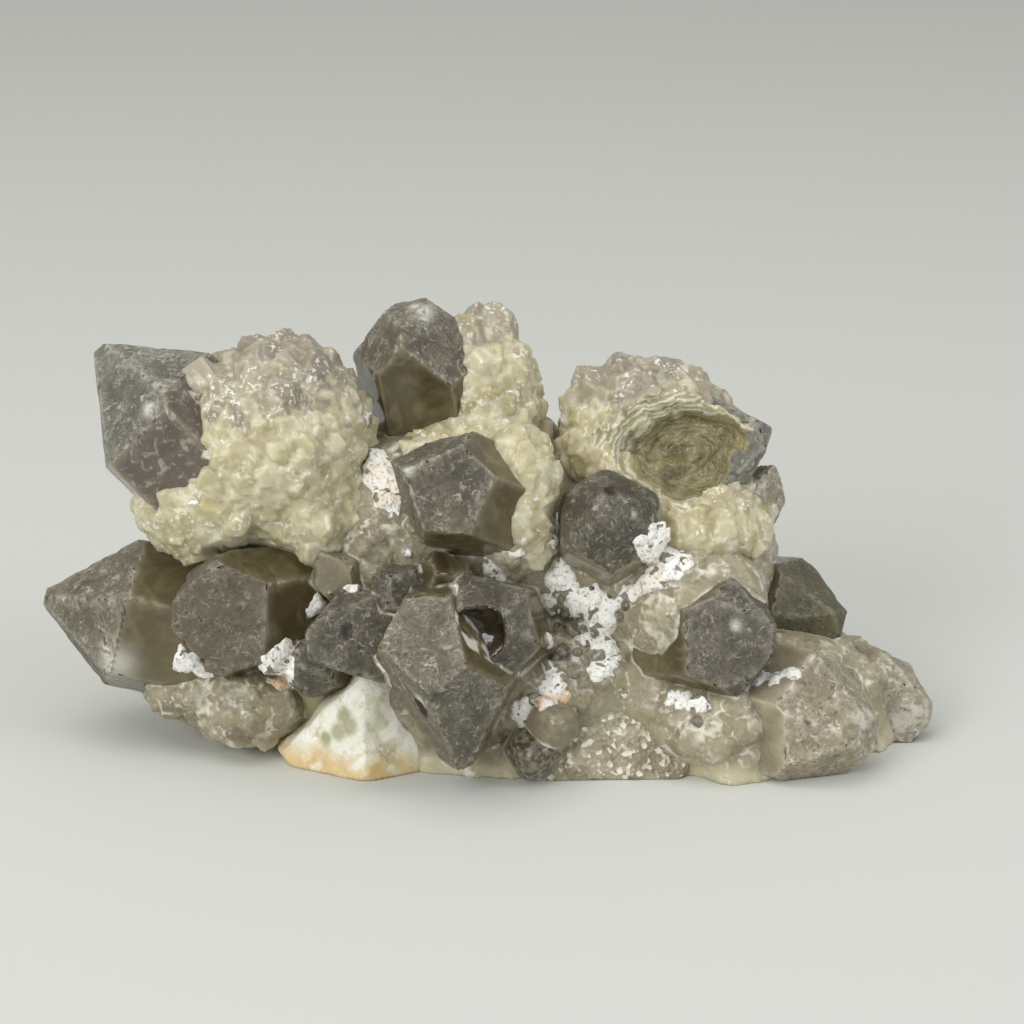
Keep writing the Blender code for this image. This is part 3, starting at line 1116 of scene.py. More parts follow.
GREY_CLEAR = SmokySide("clear_grey_quartz", "#95958A", "#A1A192", "#B6B5A7", "#B9B6A2", 0.1)
# Finishes for hollows only: the smoky quartz's own brown painted far darker, as shade in the hollow.
SHADED_HOLLOW_BROWN = SmokySide("shaded_hollow_brown_quartz", "#261F13", "#3A2F1D", "#5A4D35", "#4A3F2B", 0.06)
SHADED_PIT_BROWN = SmokySide("shaded_pit_brown_quartz", "#2E2617", "#40362A", "#5A4D35", "#4A3F2B", 0.45)
DRUSE = Druse()
FELDSPAR = WhiteFeldspar()
GRAINED = GrainedQuartz()
MILKY = MilkyQuartz()
SPARRY = SparryQuartz()
BANDED = BandedBreak()
DARK_GRAIN = DarkGrain()
PALE = PaleCrystal()


# Forms


class Wall(Enum):
    """What kind of plane bounds a crystal."""

    HEAD = 0
    SIDE = 1
    END = 2


class Slot(Enum):
    """Which of a great crystal's finishes a face has."""

    HEAD = 0
    SIDE = 1
    HOLLOW = 2


def unit(vector: Iterable[float]) -> Array:
    """The direction of a vector."""
    made = np.array(list(vector), float)
    return made / np.linalg.norm(made)


@dataclass(frozen=True)
class Hollow:
    """A rounded hole broken into the cluster, with the way that its mouth looks."""

    centre: Vec3
    radii: Vec3
    mouth: Vec3 = (0.0, -0.95, 0.3)
    rough: float = 0.5
    steps: float = 0.0  # height of the shell-like steps of the break, in mm

    def distance(self, points: Array) -> Array:
        """Distance from its wall, below zero in the hole.

        Args:
            points: places in mm, one a row.

        Returns:
            One distance a point, in mm.
        """
        away = (points - np.array(self.centre)) / np.array(self.radii)
        uneven = self.rough * fractal(points, 4.5, 4, SEED_HOLLOW)
        if self.steps:
            wave = BREAK_STEPS * self.ring(points) + 2.5 * value_noise(points, 5.0, SEED_HOLLOW + 1)
            uneven += self.steps * np.abs(np.sin(wave))
        return (np.linalg.norm(away, axis=1) - 1.0) * min(self.radii) + uneven

    def ring(self, points: Array) -> Array:
        """How far a point is from the middle of the mouth: 1 at the rim.

        Args:
            points: places in mm, one a row.

        Returns:
            One value a point.
        """
        away = (points - np.array(self.centre)) / np.array(self.radii)
        axis = unit(self.mouth)
        return np.linalg.norm(away - np.outer(away @ axis, axis), axis=1)

    def bands(self, points: Array) -> Array:
        """The same, with more of the rim's bands at the upper left, as the crystal grew."""
        away = (points - np.array(self.centre)) / np.array(self.radii)
        return self.ring(points) + 0.25 * (0.5 * away[:, 2] - 0.85 * away[:, 0])


@dataclass(frozen=True)
class GreatCrystal:
    """One six-sided crystal of the cluster, with its size, place and finish."""

    tip: Vec3
    heading: float  # degrees in plan from +X
    rise: float  # degrees above level
    across: float  # between two opposite side faces
    length: float
    roll: float = 30.0  # turn of side face 0 from the upper side
    sides: tuple = (1.0, 1.0, 1.0, 1.0, 1.0, 1.0)
    heads: tuple = (0.0, 1.5, 0.0, 1.5, 0.0, 1.5)
    blunt: float = 0.0
    head_finish: Finish = FROSTED
    side_finish: Finish = SMOKY
    tone: float = 0.0  # darker below zero, lighter above
    relief: float = 0.12  # of the head faces, in mm
    soft: float = 0.0  # how widely its edges are rounded off, in mm
    cell: float = 0.6
    hollows: tuple = ()
    hollow_finish: Finish = BANDED

    def axes(self) -> Array:
        """Rows: the upper side, the flank and the length.

        Returns:
            Three rows of length 1.
        """
        heading, rise = math.radians(self.heading), math.radians(self.rise)
        level = np.array((math.cos(heading), math.sin(heading), 0.0))
        length = level * math.cos(rise) + np.array((0.0, 0.0, math.sin(rise)))
        upper = np.array((0.0, 0.0, math.cos(rise))) - level * math.sin(rise)
        return np.array((upper, np.cross(upper, length), length))

    def planes(self) -> tuple[Array, Array, Array]:
        """The directions of its faces, how far out they are, and the kind of each.

        Returns:
            Three arrays with one row, or one value, for each face.
        """
        upper, flank, length = self.axes()
        tip = np.array(self.tip)
        rows = []
        for i in range(6):
            turn = math.radians(self.roll + 60.0 * i)
            out = upper * math.cos(turn) + flank * math.sin(turn)
            rows.append((tip + out * self.across / 2.0 * self.sides[i], out, Wall.SIDE.value))
            look = out * math.cos(HEAD_TILT) + length * math.sin(HEAD_TILT)
            rows.append((tip + length * self.heads[i], look, Wall.HEAD.value))
        rows.append((tip - length * self.blunt, length, Wall.HEAD.value))
        rows.append((tip - length * self.length, -length, Wall.END.value))
        normal = np.array([row[1] for row in rows])
        offset = np.array([row[0] @ row[1] for row in rows])
        return normal, offset, np.array([row[2] for row in rows])

    def depth(self, points: Array) -> Array:
        """Distance from the crystal's walls, below zero inside, hollows left out."""
        normal, offset, _ = self.planes()
        return (points @ normal.T - offset).max(axis=1)

    def snapped(self, points: Array) -> Array:
        """Moves points onto the faces, edges and corners that they lie by.

        Args:
            points: places in mm, one a row.

        Returns:
            The moved places.
        """
        normal, offset, _ = self.planes()
        made = points.copy()
        for _ in range(3):
            value = made @ normal.T - offset
            top = value.max(axis=1, keepdims=True)
            active = ((value > top - SNAP_NEAR * self.cell) & (top > -SNAP_REACH * self.cell)).astype(float)
            square = np.einsum("pk,ki,kj->pij", active, normal, normal) + np.eye(3) * 0.03
            pull = np.einsum("pk,ki->pi", active * -value, normal)
            step = np.linalg.solve(square, pull[:, :, None])[:, :, 0]
            made += step * (np.abs(top) < SNAP_REACH * self.cell)
        return made

    def shape(self, number: int) -> Shape:
        """The crystal's mesh, worn at its edges and uneven on its heads.

        Args:
            number: sets the crystal's own noise.

        Returns:
            A shape with slots head, side and hollow, and its marks.
        """
        normal, offset, kind = self.planes()
        reach = self.across * BOX_REACH
        ends = np.array((self.tip, np.array(self.tip) - self.axes()[2] * self.length))
        low, high = ends.min(axis=0) - reach, ends.max(axis=0) + reach

        def distance(points: Array) -> Array:
            """The crystal above the flat, less its hollows.

            Args:
                points: places in mm, one a row.

            Returns:
                One distance a point, below zero inside.
            """
            value = self.depth(points)
            if self.soft:
                walls = (points @ normal.T - offset) / self.soft
                value = self.soft * np.log(np.exp(np.clip(walls, -60.0, 60.0)).sum(axis=1))
            value = np.maximum(value, -points[:, 2])
            for hollow in self.hollows:
                value = np.maximum(value, -hollow.distance(points))
            return value

        made = skin(distance, low, high, self.cell)
        if not self.soft:
            made.points = self.snapped(made.points)
        value = np.sort(made.points @ normal.T - offset, axis=1)
        edge = np.exp(-(value[:, -1] - value[:, -2]) / EDGE_WIDTH) * (value[:, -1] > -EDGE_DEPTH)
        heads = (made.points @ normal.T - offset)[:, kind == Wall.HEAD.value]
        down = np.maximum(-heads.max(axis=1), 0.0)
        uneven = fractal(made.points, 2.4, 3, SEED_HEADS + number)
        rough = self.relief * (0.4 + uneven) * np.exp(-down / 0.5)
        bites = value_noise(made.points, 1.6, SEED_NIBBLES + number)
        nibble = edge * (0.06 + 0.5 * np.maximum(bites, 0.0))
        smooth = 0.05 * np.maximum(value_noise(made.points, 5.0, SEED_WEAR + number), 0.0)
        worn = (np.maximum(rough, 0.0) + nibble + smooth) * smooth_step(0.0, 1.0, made.points[:, 2])
        made.points = made.points - made.normals() * worn[:, None]
        made.points[:, 2] = np.maximum(made.points[:, 2], 0.0)
        middle = made.face_middles()
        at = (middle @ normal.T - offset).argmax(axis=1)
        on_head = kind[at] == Wall.HEAD.value
        made.slots = np.where(on_head, Slot.HEAD.value, Slot.SIDE.value).astype(np.int32)
        chance = np.random.default_rng(number).uniform(-FACE_TONES, FACE_TONES, len(kind))
        face = (made.points @ normal.T - offset).argmax(axis=1)
        ring = np.full(len(made.points), FAR)
        for hollow in self.hollows:
            made.slots[hollow.distance(middle) < 0.25] = Slot.HOLLOW.value
            ring = np.minimum(ring, hollow.bands(made.points))
        made.marks = {"edge": edge, "run": down, "tone": self.tone + chance[face], "ring": ring}
        return made


@dataclass(frozen=True)
class Lump:
    """A rounded mass. Each cut is a flat break: its direction and its distance from the middle."""

    centre: Vec3
    radii: Vec3
    cuts: tuple = ()

    def distance(self, points: Array) -> Array:
        """Distance from its skin, below zero inside.

        Args:
            points: places in mm, one a row.

        Returns:
            One distance a point, in mm.
        """
        away = points - np.array(self.centre)
        scaled = np.linalg.norm(away / np.array(self.radii), axis=1)
        steep = np.linalg.norm(away / np.array(self.radii) ** 2, axis=1)
        value = scaled * (scaled - 1.0) / np.maximum(steep, 1e-6)
        for direction, distance in self.cuts:
            value = np.maximum(value, away @ unit(direction) - distance)
        return value


def merged(values: Sequence[Array], soft: float) -> Array:
    """The union of several distances, filleted where they meet.

    Args:
        values: the distances.
        soft: the width of the fillet in mm.

    Returns:
        One distance.
    """
    total = values[0]
    for value in values[1:]:
        share = np.clip(0.5 + 0.5 * (value - total) / soft, 0.0, 1.0)
        total = value * (1.0 - share) + total * share - soft * share * (1.0 - share)
    return total


def box_of(lumps: Sequence[Lump], margin: float) -> tuple[Array, Array]:
    """The lowest and highest corner of some lumps, with a margin.

    Args:
        lumps: what the box holds.
        margin: how much wider it is on each side, in mm.

    Returns:
        The two corners.
    """
    centre = np.array([lump.centre for lump in lumps])
    radii = np.array([lump.radii for lump in lumps])
    return (centre - radii).min(axis=0) - margin, (centre + radii).max(axis=0) + margin


def frames(directions: Array, rolls: Array) -> Array:
    """For each direction, three axes of which the last is the direction.

    Args:
        directions: one a row, of length 1.
        rolls: the turn about each, in radians.

    Returns:
        One 3 by 3 block of rows for each.
    """
    helper = np.where(np.abs(directions[:, 2:3]) < 0.9, (0.0, 0.0, 1.0), (1.0, 0.0, 0.0))
    side = np.cross(helper, directions)
    side /= np.linalg.norm(side, axis=1, keepdims=True)
    other = np.cross(directions, side)
    cos, sin = np.cos(rolls)[:, None], np.sin(rolls)[:, None]
    return np.stack((side * cos + other * sin, other * cos - side * sin, directions), axis=1)


def small_quartz(tips: Array, directions: Array, widths: Array, seed: int, clear: Array) -> Grains:
    """Many small three-headed quartz crystals.

    Args:
        tips: where each ends, in mm.
        directions: where each points.
        widths: across each, in mm.
        seed: sets their turns and their unevenness.
        clear: 1 for a clear one, 0 for a cloudy one.

    Returns:
        The crystals, each between six sides, three great head faces and three small ones.
    """
    rng = np.random.default_rng(seed)
    count = len(tips)
    ring = np.radians(np.arange(6) * 60.0)
    sides = np.stack((np.cos(ring), np.sin(ring), np.zeros(6)), axis=1)
    heads = sides * math.cos(HEAD_TILT) + np.array((0.0, 0.0, math.sin(HEAD_TILT)))
    local = np.concatenate((sides, heads, [(0.0, 0.0, 1.0), (0.0, 0.0, -1.0)]))
    turned = np.einsum("kc,ncj->nkj", local, frames(directions, rng.uniform(0, math.tau, count)))
    half = widths[:, None] / 2.0
    back = widths[:, None] * 0.6  # from the middle to the tip
    out = half * rng.uniform(0.8, 1.1, (count, 6))
    forward = half * np.where(np.arange(6) % 2 == 0, 0.0, 1.3) * rng.uniform(0.4, 1.0, (count, 6))
    head = (back + forward) * math.sin(HEAD_TILT)
    reach = np.concatenate((out, head, back * rng.uniform(0.78, 1.0, (count, 1)), back * 1.6), axis=1)
    middle = tips - directions * back
    return Grains(middle, widths * 1.1 + 0.4, turned, reach, rng.uniform(0.0, 1.0, count), clear)


def tiles(feet: Array, look: Array, radius: Array, stand: Array, seed: int) -> Grains:
    """Blocky crystals broken off nearly flush: many-sided tiles, each with its own tilt.

    Args:
        feet: where they lie on the surface, in mm.
        look: which way the surface looks there.
        radius: of each, in mm.
        stand: how far each stands out, in mm.
        seed: sets their sides and tilts.

    Returns:
        The tiles.
    """
    rng = np.random.default_rng(seed)
    count = len(feet)
    turn = np.radians(np.arange(7) * 360.0 / 7.0) + rng.uniform(-0.3, 0.3, (count, 7))
    lean = rng.uniform(0.0, 0.35, (count, 7))
    sides = np.stack((np.cos(turn) * np.cos(lean), np.sin(turn) * np.cos(lean), np.sin(lean)), axis=2)
    slope = rng.uniform(-0.28, 0.28, (2, count, 2))
    caps = np.concatenate((slope, np.ones((2, count, 1))), axis=2).transpose(1, 0, 2)
    caps /= np.linalg.norm(caps, axis=2, keepdims=True)
    floor = np.broadcast_to(np.array((0.0, 0.0, -1.0)), (count, 1, 3))
    local = np.concatenate((sides, caps, floor), axis=1)
    turned = np.einsum("nkc,ncj->nkj", local, frames(look, rng.uniform(0, math.tau, count)))
    depth = radius * 0.6
    cap = (depth + stand)[:, None] + np.array((0.0, 0.25)) * rng.uniform(0.0, 1.0, (count, 2))
    wall = radius[:, None] * rng.uniform(0.75, 1.0, (count, 7))
    reach = np.concatenate((wall, cap, depth[:, None]), axis=1)
    middle = feet - look * depth[:, None]
    return Grains(middle, radius * 1.5 + 0.5, turned, reach, rng.uniform(0, 1, count), np.zeros(count))


def spread(shape: Shape, spacing: float, seed: int) -> tuple[Array, Array]:
    """Chooses places on a shape, about one in each cube of the given width.

    Args:
        shape: what they are on.
        spacing: the width of the cubes in mm.
        seed: sets the choice.

    Returns:
        The places in mm and the way the surface looks at each.
    """
    a, b, c, d = (shape.points[shape.faces[:, i]] for i in range(4))
    look = np.cross(c - a, d - b)
    look /= np.maximum(np.linalg.norm(look, axis=1, keepdims=True), 1e-9)
    middle = (a + b + c + d) / 4.0
    order = np.random.default_rng(seed).permutation(len(middle))
    _, first = np.unique(np.floor(middle[order] / spacing).astype(int), axis=0, return_index=True)
    return middle[order[first]], look[order[first]]


class Sight:
    """Finds what the photograph's camera sees at a pixel."""

    def __init__(self, shapes: Sequence[Shape]) -> None:
        """Keeps the shapes for rays to meet.

        Args:
            shapes: what can be seen.
        """
        whole = joined([Shape(s.points, s.faces, s.slots) for s in shapes])
        self.tree = BVHTree.FromPolygons(whole.points.tolist(), whole.faces.tolist())
        cos, sin = math.cos(VIEW_RISE), math.sin(VIEW_RISE)
        self.eye = np.array(VIEW_TARGET) + VIEW_DISTANCE * np.array((0.0, -cos, sin))
        self.rows = np.array(((1.0, 0.0, 0.0), (0.0, sin, cos), (0.0, cos, -sin)))

    def hit(self, px: float, py: float) -> Optional[tuple[Array, Array]]:
        """The point seen at a pixel, and the way its face looks.

        Args:
            px: pixels from the left of the photograph.
            py: pixels from the top.

        Returns:
            A place in mm and a direction, or None where nothing is seen.
        """
        half = IMAGE_SIDE / 2.0
        ray = unit(((px - half) / FOCAL_PIXELS, (half - py) / FOCAL_PIXELS, 1.0)) @ self.rows
        place, look, _, _ = self.tree.ray_cast(Vector(self.eye), Vector(ray))
        if place is None:
            return None
        look = np.array(look)
        return np.array(place), look if look @ ray < 0 else -look


# The cluster's layout

TRIGONAL = (0.0, 7.0, 0.0, 7.0, 0.0, 7.0)  # a head with three great faces and three small ones
BOWL = Hollow((31.0, -13.0, 53.5), (17.0, 14.5, 11.0), (-0.1, -0.9, 0.42), 1.1, 0.6)
HOPPER = Hollow((-1.2, -35.5, 28.0), (4.8, 7.5, 5.8), (0.1, -0.9, 0.4), 0.9)
PIT = Hollow((-22.2, -26.6, 26.9), (1.2, 2.0, 1.4), (0.2, -0.8, 0.5), 0.5)
DIMPLE = Hollow((19.9, -17.6, 48.1), (0.9, 1.2, 1.0), (0.4, -0.2, 0.9), 0.3)
NOTCH = Hollow((-10.6, -35.0, 16.8), (1.4, 1.6, 2.0), (-0.6, -0.7, 0.0), 0.25)
CHIP = Hollow((60.0, -27.6, 10.0), (2.8, 2.2, 3.0), (0.7, -0.7, 0.0), 0.7, 0.35)

CRYSTALS = {
    "upper_left": GreatCrystal(
        (-64.5, 2.0, 66.0), 167, 44, 24.5, 33, 30, heads=(2.0, 0.0, 1.0, 2.0, 1.0, 2.0),
        head_finish=PALE_HEAD, side_finish=MAUVE, tone=0.1,
    ),
    "lower_left": GreatCrystal(
        (-75.0, -2.0, 24.7), -179, 13.5, 23.5, 50, 30, heads=(0.0, 0.5, 1.5, 2.0, 1.0, 1.0), blunt=0.6,
    ),
    "summit": GreatCrystal(
        (-12.8, 7.0, 74.8), -125, 75, 20.6, 44, 31, heads=(1.0, 0.0, 8.0, 3.0, 2.0, 1.0), blunt=3.0,
        side_finish=GLASSY, tone=0.1,
    ),
    "centre": GreatCrystal((-13.3, -24.0, 53.0), -134, 27, 17.5, 32, -22, heads=TRIGONAL, relief=0.22),
    "dome": GreatCrystal(
        (20.0, -22.0, 47.5), -90, 36, 16.5, 28, 30, blunt=3.0, head_finish=DARK_HEAD, side_finish=CLOUDED,
        relief=0.3, soft=0.45, hollows=(DIMPLE,), hollow_finish=SHADED_PIT_BROWN,
    ),
    "front": GreatCrystal(
        (-9.0, -42.5, 22.0), -104, 0, 25.5, 38, -6, (0.9, 0.5, 0.78, 1.75, 0.95, 0.9),
        (0.0, 7.0, 0.0, 15.0, 0.0, 7.0), relief=0.25, hollows=(NOTCH,), hollow_finish=SHADED_PIT_BROWN,
    ),
    "hollow": GreatCrystal(
        (-2.5, -35.0, 30.0), -100, 20, 17.0, 28, 10, blunt=1.5, head_finish=DARK_HEAD, hollows=(HOPPER,),
        hollow_finish=SHADED_HOLLOW_BROWN,
    ),
    "inner_left": GreatCrystal(
        (-51.5, -22.0, 27.0), -142, 4, 18.0, 34, 30, (1.0, 0.8, 1.1, 1.0, 1.0, 1.0),
        (3.0, -5.0, 3.0, 2.0, 1.0, 2.0), 1.0, BROWN_HEAD, GLASSY, relief=0.2,
    ),
    "pale_small": GreatCrystal(
        (-27.5, -15.0, 36.5), -132, 45, 9.0, 20, 20, head_finish=CLOUDED, side_finish=CLOUDED,
    ),
    "dark_face": GreatCrystal(
        (-28.0, -30.0, 27.0), -132, 24, 18.5, 28, 62, (1.0, 0.85, 0.42, 0.8, 1.0, 1.0),
        (-3.0, 1.0, 2.0, 1.5, 2.0, 1.5), 1.0, head_finish=DARK_HEAD, hollows=(PIT,), hollow_finish=SHADED_PIT_BROWN,
    ),
    "dark_upper": GreatCrystal((-15.5, -24.0, 35.5), -105, 40, 9.0, 20, 0, head_finish=DARK_HEAD),
    "brown_upper": GreatCrystal((-8.0, -24.0, 36.0), -95, 30, 9.0, 20, 30, head_finish=GLASSY),
    "right_dark": GreatCrystal(
        (46.0, -26.0, 25.0), -45, 12, 17.5, 32, 38, (1.0, 1.0, 1.0, 1.0, 0.9, 1.0),
        (2.7, 1.6, 2.2, 3.3, -2.0, 2.4), 1.0, DARK_HEAD, relief=0.25,
    ),
    "right_olive": GreatCrystal(
        (61.0, -4.0, 20.5), -30, 4, 18.5, 32, 10, blunt=2.0, head_finish=OLIVE_HEAD, side_finish=GLASSY,
    ),
    "right_pale": GreatCrystal(
        (63.5, -26.5, 8.5), -42, 3, 22.0, 34, 30, heads=(1.0, 2.0, 2.3, 0.6, 3.0, 1.4), blunt=3.0,
        head_finish=MOTTLED, side_finish=PALE, hollows=(CHIP,), hollow_finish=PALE,
    ),
    "right_end": GreatCrystal(
        (74.4, -9.0, 5.5), -38, 4, 18.0, 30, 30, heads=(2.0, 2.0, 2.0, 2.0, -3.0, 2.0), blunt=1.5,
        head_finish=MOTTLED, side_finish=CLOUDED, tone=-0.2,
    ),
    "broken": GreatCrystal(
        (47.7, -2.0, 53.5), -27, 23, 23.0, 34, 30, blunt=2.0, head_finish=PALE_HEAD, side_finish=CLOUDED,
        hollows=(BOWL,),
    ),
    "right_sliver": GreatCrystal(
        (48.0, 3.0, 46.0), 10, 60, 9.0, 20, 0, head_finish=MOTTLED, side_finish=GREY_CLEAR,
    ),
    "left_round": GreatCrystal(
        (-43.0, -13.0, 9.5), -130, 5, 11.0, 20, 10, blunt=1.5, head_finish=CLOUDED, side_finish=CLOUDED,
        soft=0.5,
    ),
    "small_dark": GreatCrystal((-31.0, -21.0, 18.5), -115, 15, 9.5, 18, 30, blunt=0.8, head_finish=DARK_HEAD),
    "foot_grey": GreatCrystal(
        (7.0, -31.0, 6.5), -95, 10, 9.0, 18, 0, blunt=1.0, head_finish=DARK_GRAIN, side_finish=CLOUDED,
        soft=0.4,
    ),
    "foot_brown": GreatCrystal(
        (11.5, -30.0, 12.5), -80, 25, 8.5, 18, 20, blunt=1.0, head_finish=CLOUDED, side_finish=CLOUDED,
        soft=0.4,
    ),
    "pale_upright": GreatCrystal(
        (-56.0, -8.0, 53.0), -100, 72, 4.8, 11, 15, head_finish=MOTTLED, side_finish=PALE, cell=0.35,
    ),
    "pale_block": GreatCrystal(
        (-46.5, -10.0, 61.5), -70, 25, 4.0, 9, 0, head_finish=MOTTLED, side_finish=PALE, cell=0.35,
    ),
    "back_left": GreatCrystal((-42.0, 30.0, 34.0), 118, 22, 18.0, 32, 30, blunt=0.8, cell=0.6),
    "back_middle": GreatCrystal((-6.0, 35.0, 30.0), 96, 12, 21.0, 32, 12, heads=TRIGONAL, cell=0.6),
    "back_high": GreatCrystal((9.0, 31.0, 47.0), 75, 32, 16.0, 30, 0, head_finish=PALE_HEAD, cell=0.6),
    "back_right": GreatCrystal((42.0, 31.0, 21.0), 66, 14, 18.5, 32, 24, blunt=1.0, cell=0.6),
    "back_low": GreatCrystal((-22.0, 31.0, 12.0), 104, 4, 13.0, 24, 40, head_finish=DARK_HEAD, cell=0.6),
}

MILKY_VEIN = Lump(
    (-19.5, -14.0, 7.0), (16.5, 12.0, 13.0),
    (((-0.45, -0.85, 0.25), 7.9), ((0.45, -0.85, 0.28), 7.3), ((-0.72, 0.0, 0.69), 7.5)),
)
SUGAR_BREAK = Lump((18.5, -16.0, 4.0), (18.0, 12.0, 11.0), (((0.03, -0.95, 0.3), 6.5),))


@dataclass(frozen=True)
class Crust:
    """A druse: small crystals grown together on a lumpy ground, leaning as the crystal inside points."""

    lumps: tuple
    lean: Vec3
    spacing: float = 1.9
    width: tuple = (2.0, 4.2)
    stand: tuple = (0.0, 0.4)
    hollow: Optional[Hollow] = None
    clear_above: float = 1e3  # clearer and larger above this height
    cell: float = 0.43

    def distance(self, points: Array) -> Array:
        """The ground: all the lumps, filleted and uneven.

        Args:
            points: places in mm, one a row.

        Returns:
            One distance a point, below zero inside.
        """
        seed = SEED_CRUST_GROUND
        value = merged([lump.distance(points) for lump in self.lumps], 4.0)
        return value + 0.5 - 1.1 * value_noise(points, 7.0, seed) - 0.5 * value_noise(points, 3.2, seed + 1)

    def shape(self, number: int) -> Shape:
        """The crust, with its small crystals.

        Args:
            number: sets where they stand.

        Returns:
            A shape with slots crust and break, and its marks.
        """
        rng = np.random.default_rng(SEED_CRUST + number)
        low, high = box_of(self.lumps, 2.5)
        feet, look = spread(skin(self.distance, low, high, 0.9), self.spacing, number)
        keep = feet[:, 2] > 2.0
        feet, look = feet[keep], look[keep]
        point = look + np.array(self.lean) * 0.45 + rng.uniform(-0.4, 0.4, feet.shape)
        point /= np.linalg.norm(point, axis=1, keepdims=True)
        height = feet[:, 2] + rng.uniform(-4, 4, len(feet))
        clear = smooth_step(self.clear_above - 3.0, self.clear_above + 3.0, height)
        width = rng.uniform(*self.width, len(feet)) * np.exp(rng.normal(0.0, 0.2, len(feet)))
        width *= 1.0 + 0.6 * clear * rng.uniform(0.0, 1.0, len(feet))
        tips = feet + point * (width * (rng.uniform(*self.stand, len(feet)) + 0.15 * clear))[:, None]
        for crystal in CRYSTALS.values():
            free = crystal.depth(tips) > 0.3
            feet, point, width, clear, tips = (x[free] for x in (feet, point, width, clear, tips))
        grains = small_quartz(tips, point, width, SEED_CRUST_GRAINS + number, clear)

        def trim(points: Array) -> Array:
            """What is broken away, and what is below the flat."""
            value = -points[:, 2]
            return value if self.hollow is None else np.maximum(value, -self.hollow.distance(points))

        made = skin(self.distance, low, high, self.cell, grains, trim)
        made.marks = {**grains.marks(made.points), "ring": np.full(len(made.points), FAR)}
        if self.hollow is not None:
            made.marks["ring"] = self.hollow.bands(made.points)
            middle = made.face_middles()
            made.slots[(self.hollow.distance(middle) < 0.2) & (self.hollow.ring(middle) < 1.5)] = BREAK_SLOT
        fine = 0.1 * fractal(made.points, 1.1, 2, SEED_CRUST_SKIN) * smooth_step(0.0, 1.0, made.points[:, 2])
        made.points = made.points + made.normals() * np.minimum(fine, 0.0)[:, None]
        return made


CRUSTS = {
    "left_druse": Crust(
        (
            Lump((-36.0, -1.0, 51.0), (17.0, 17.0, 16.5)),
            Lump((-46.5, -3.5, 42.5), (12.5, 13.0, 10.5)),
            Lump((-28.0, -3.0, 39.5), (12.5, 11.5, 9.5)),
        ),
        (-0.5, 0.0, 0.6),
        clear_above=61.5,
    ),
    "summit_druse": Crust(
        (
            Lump((-2.0, 11.0, 47.0), (13.0, 11.5, 22.5)),
            Lump((-4.0, -1.0, 47.0), (11.5, 7.0, 7.0)),
            Lump((4.5, -8.0, 43.0), (8.5, 10.5, 13.0)),
        ),
        (0.1, 0.0, 0.7),
        clear_above=67.0,
    ),
    "right_druse": Crust(
        (Lump((27.5, 8.5, 46.5), (17.0, 15.5, 15.5)), Lump((34.0, -1.0, 36.5), (14.0, 13.0, 9.0))),
        (0.4, -0.1, 0.5),
        hollow=BOWL,
        clear_above=57.0,
    ),
    "back_druse": Crust(
        (Lump((-26.0, 13.0, 30.0), (22.0, 14.0, 16.0)), Lump((14.0, 14.0, 27.0), (25.0, 14.0, 18.0))),
        (0.0, 0.8, 0.3),
        spacing=2.1,
        width=(2.6, 5.0),
        cell=0.55,
    ),
}


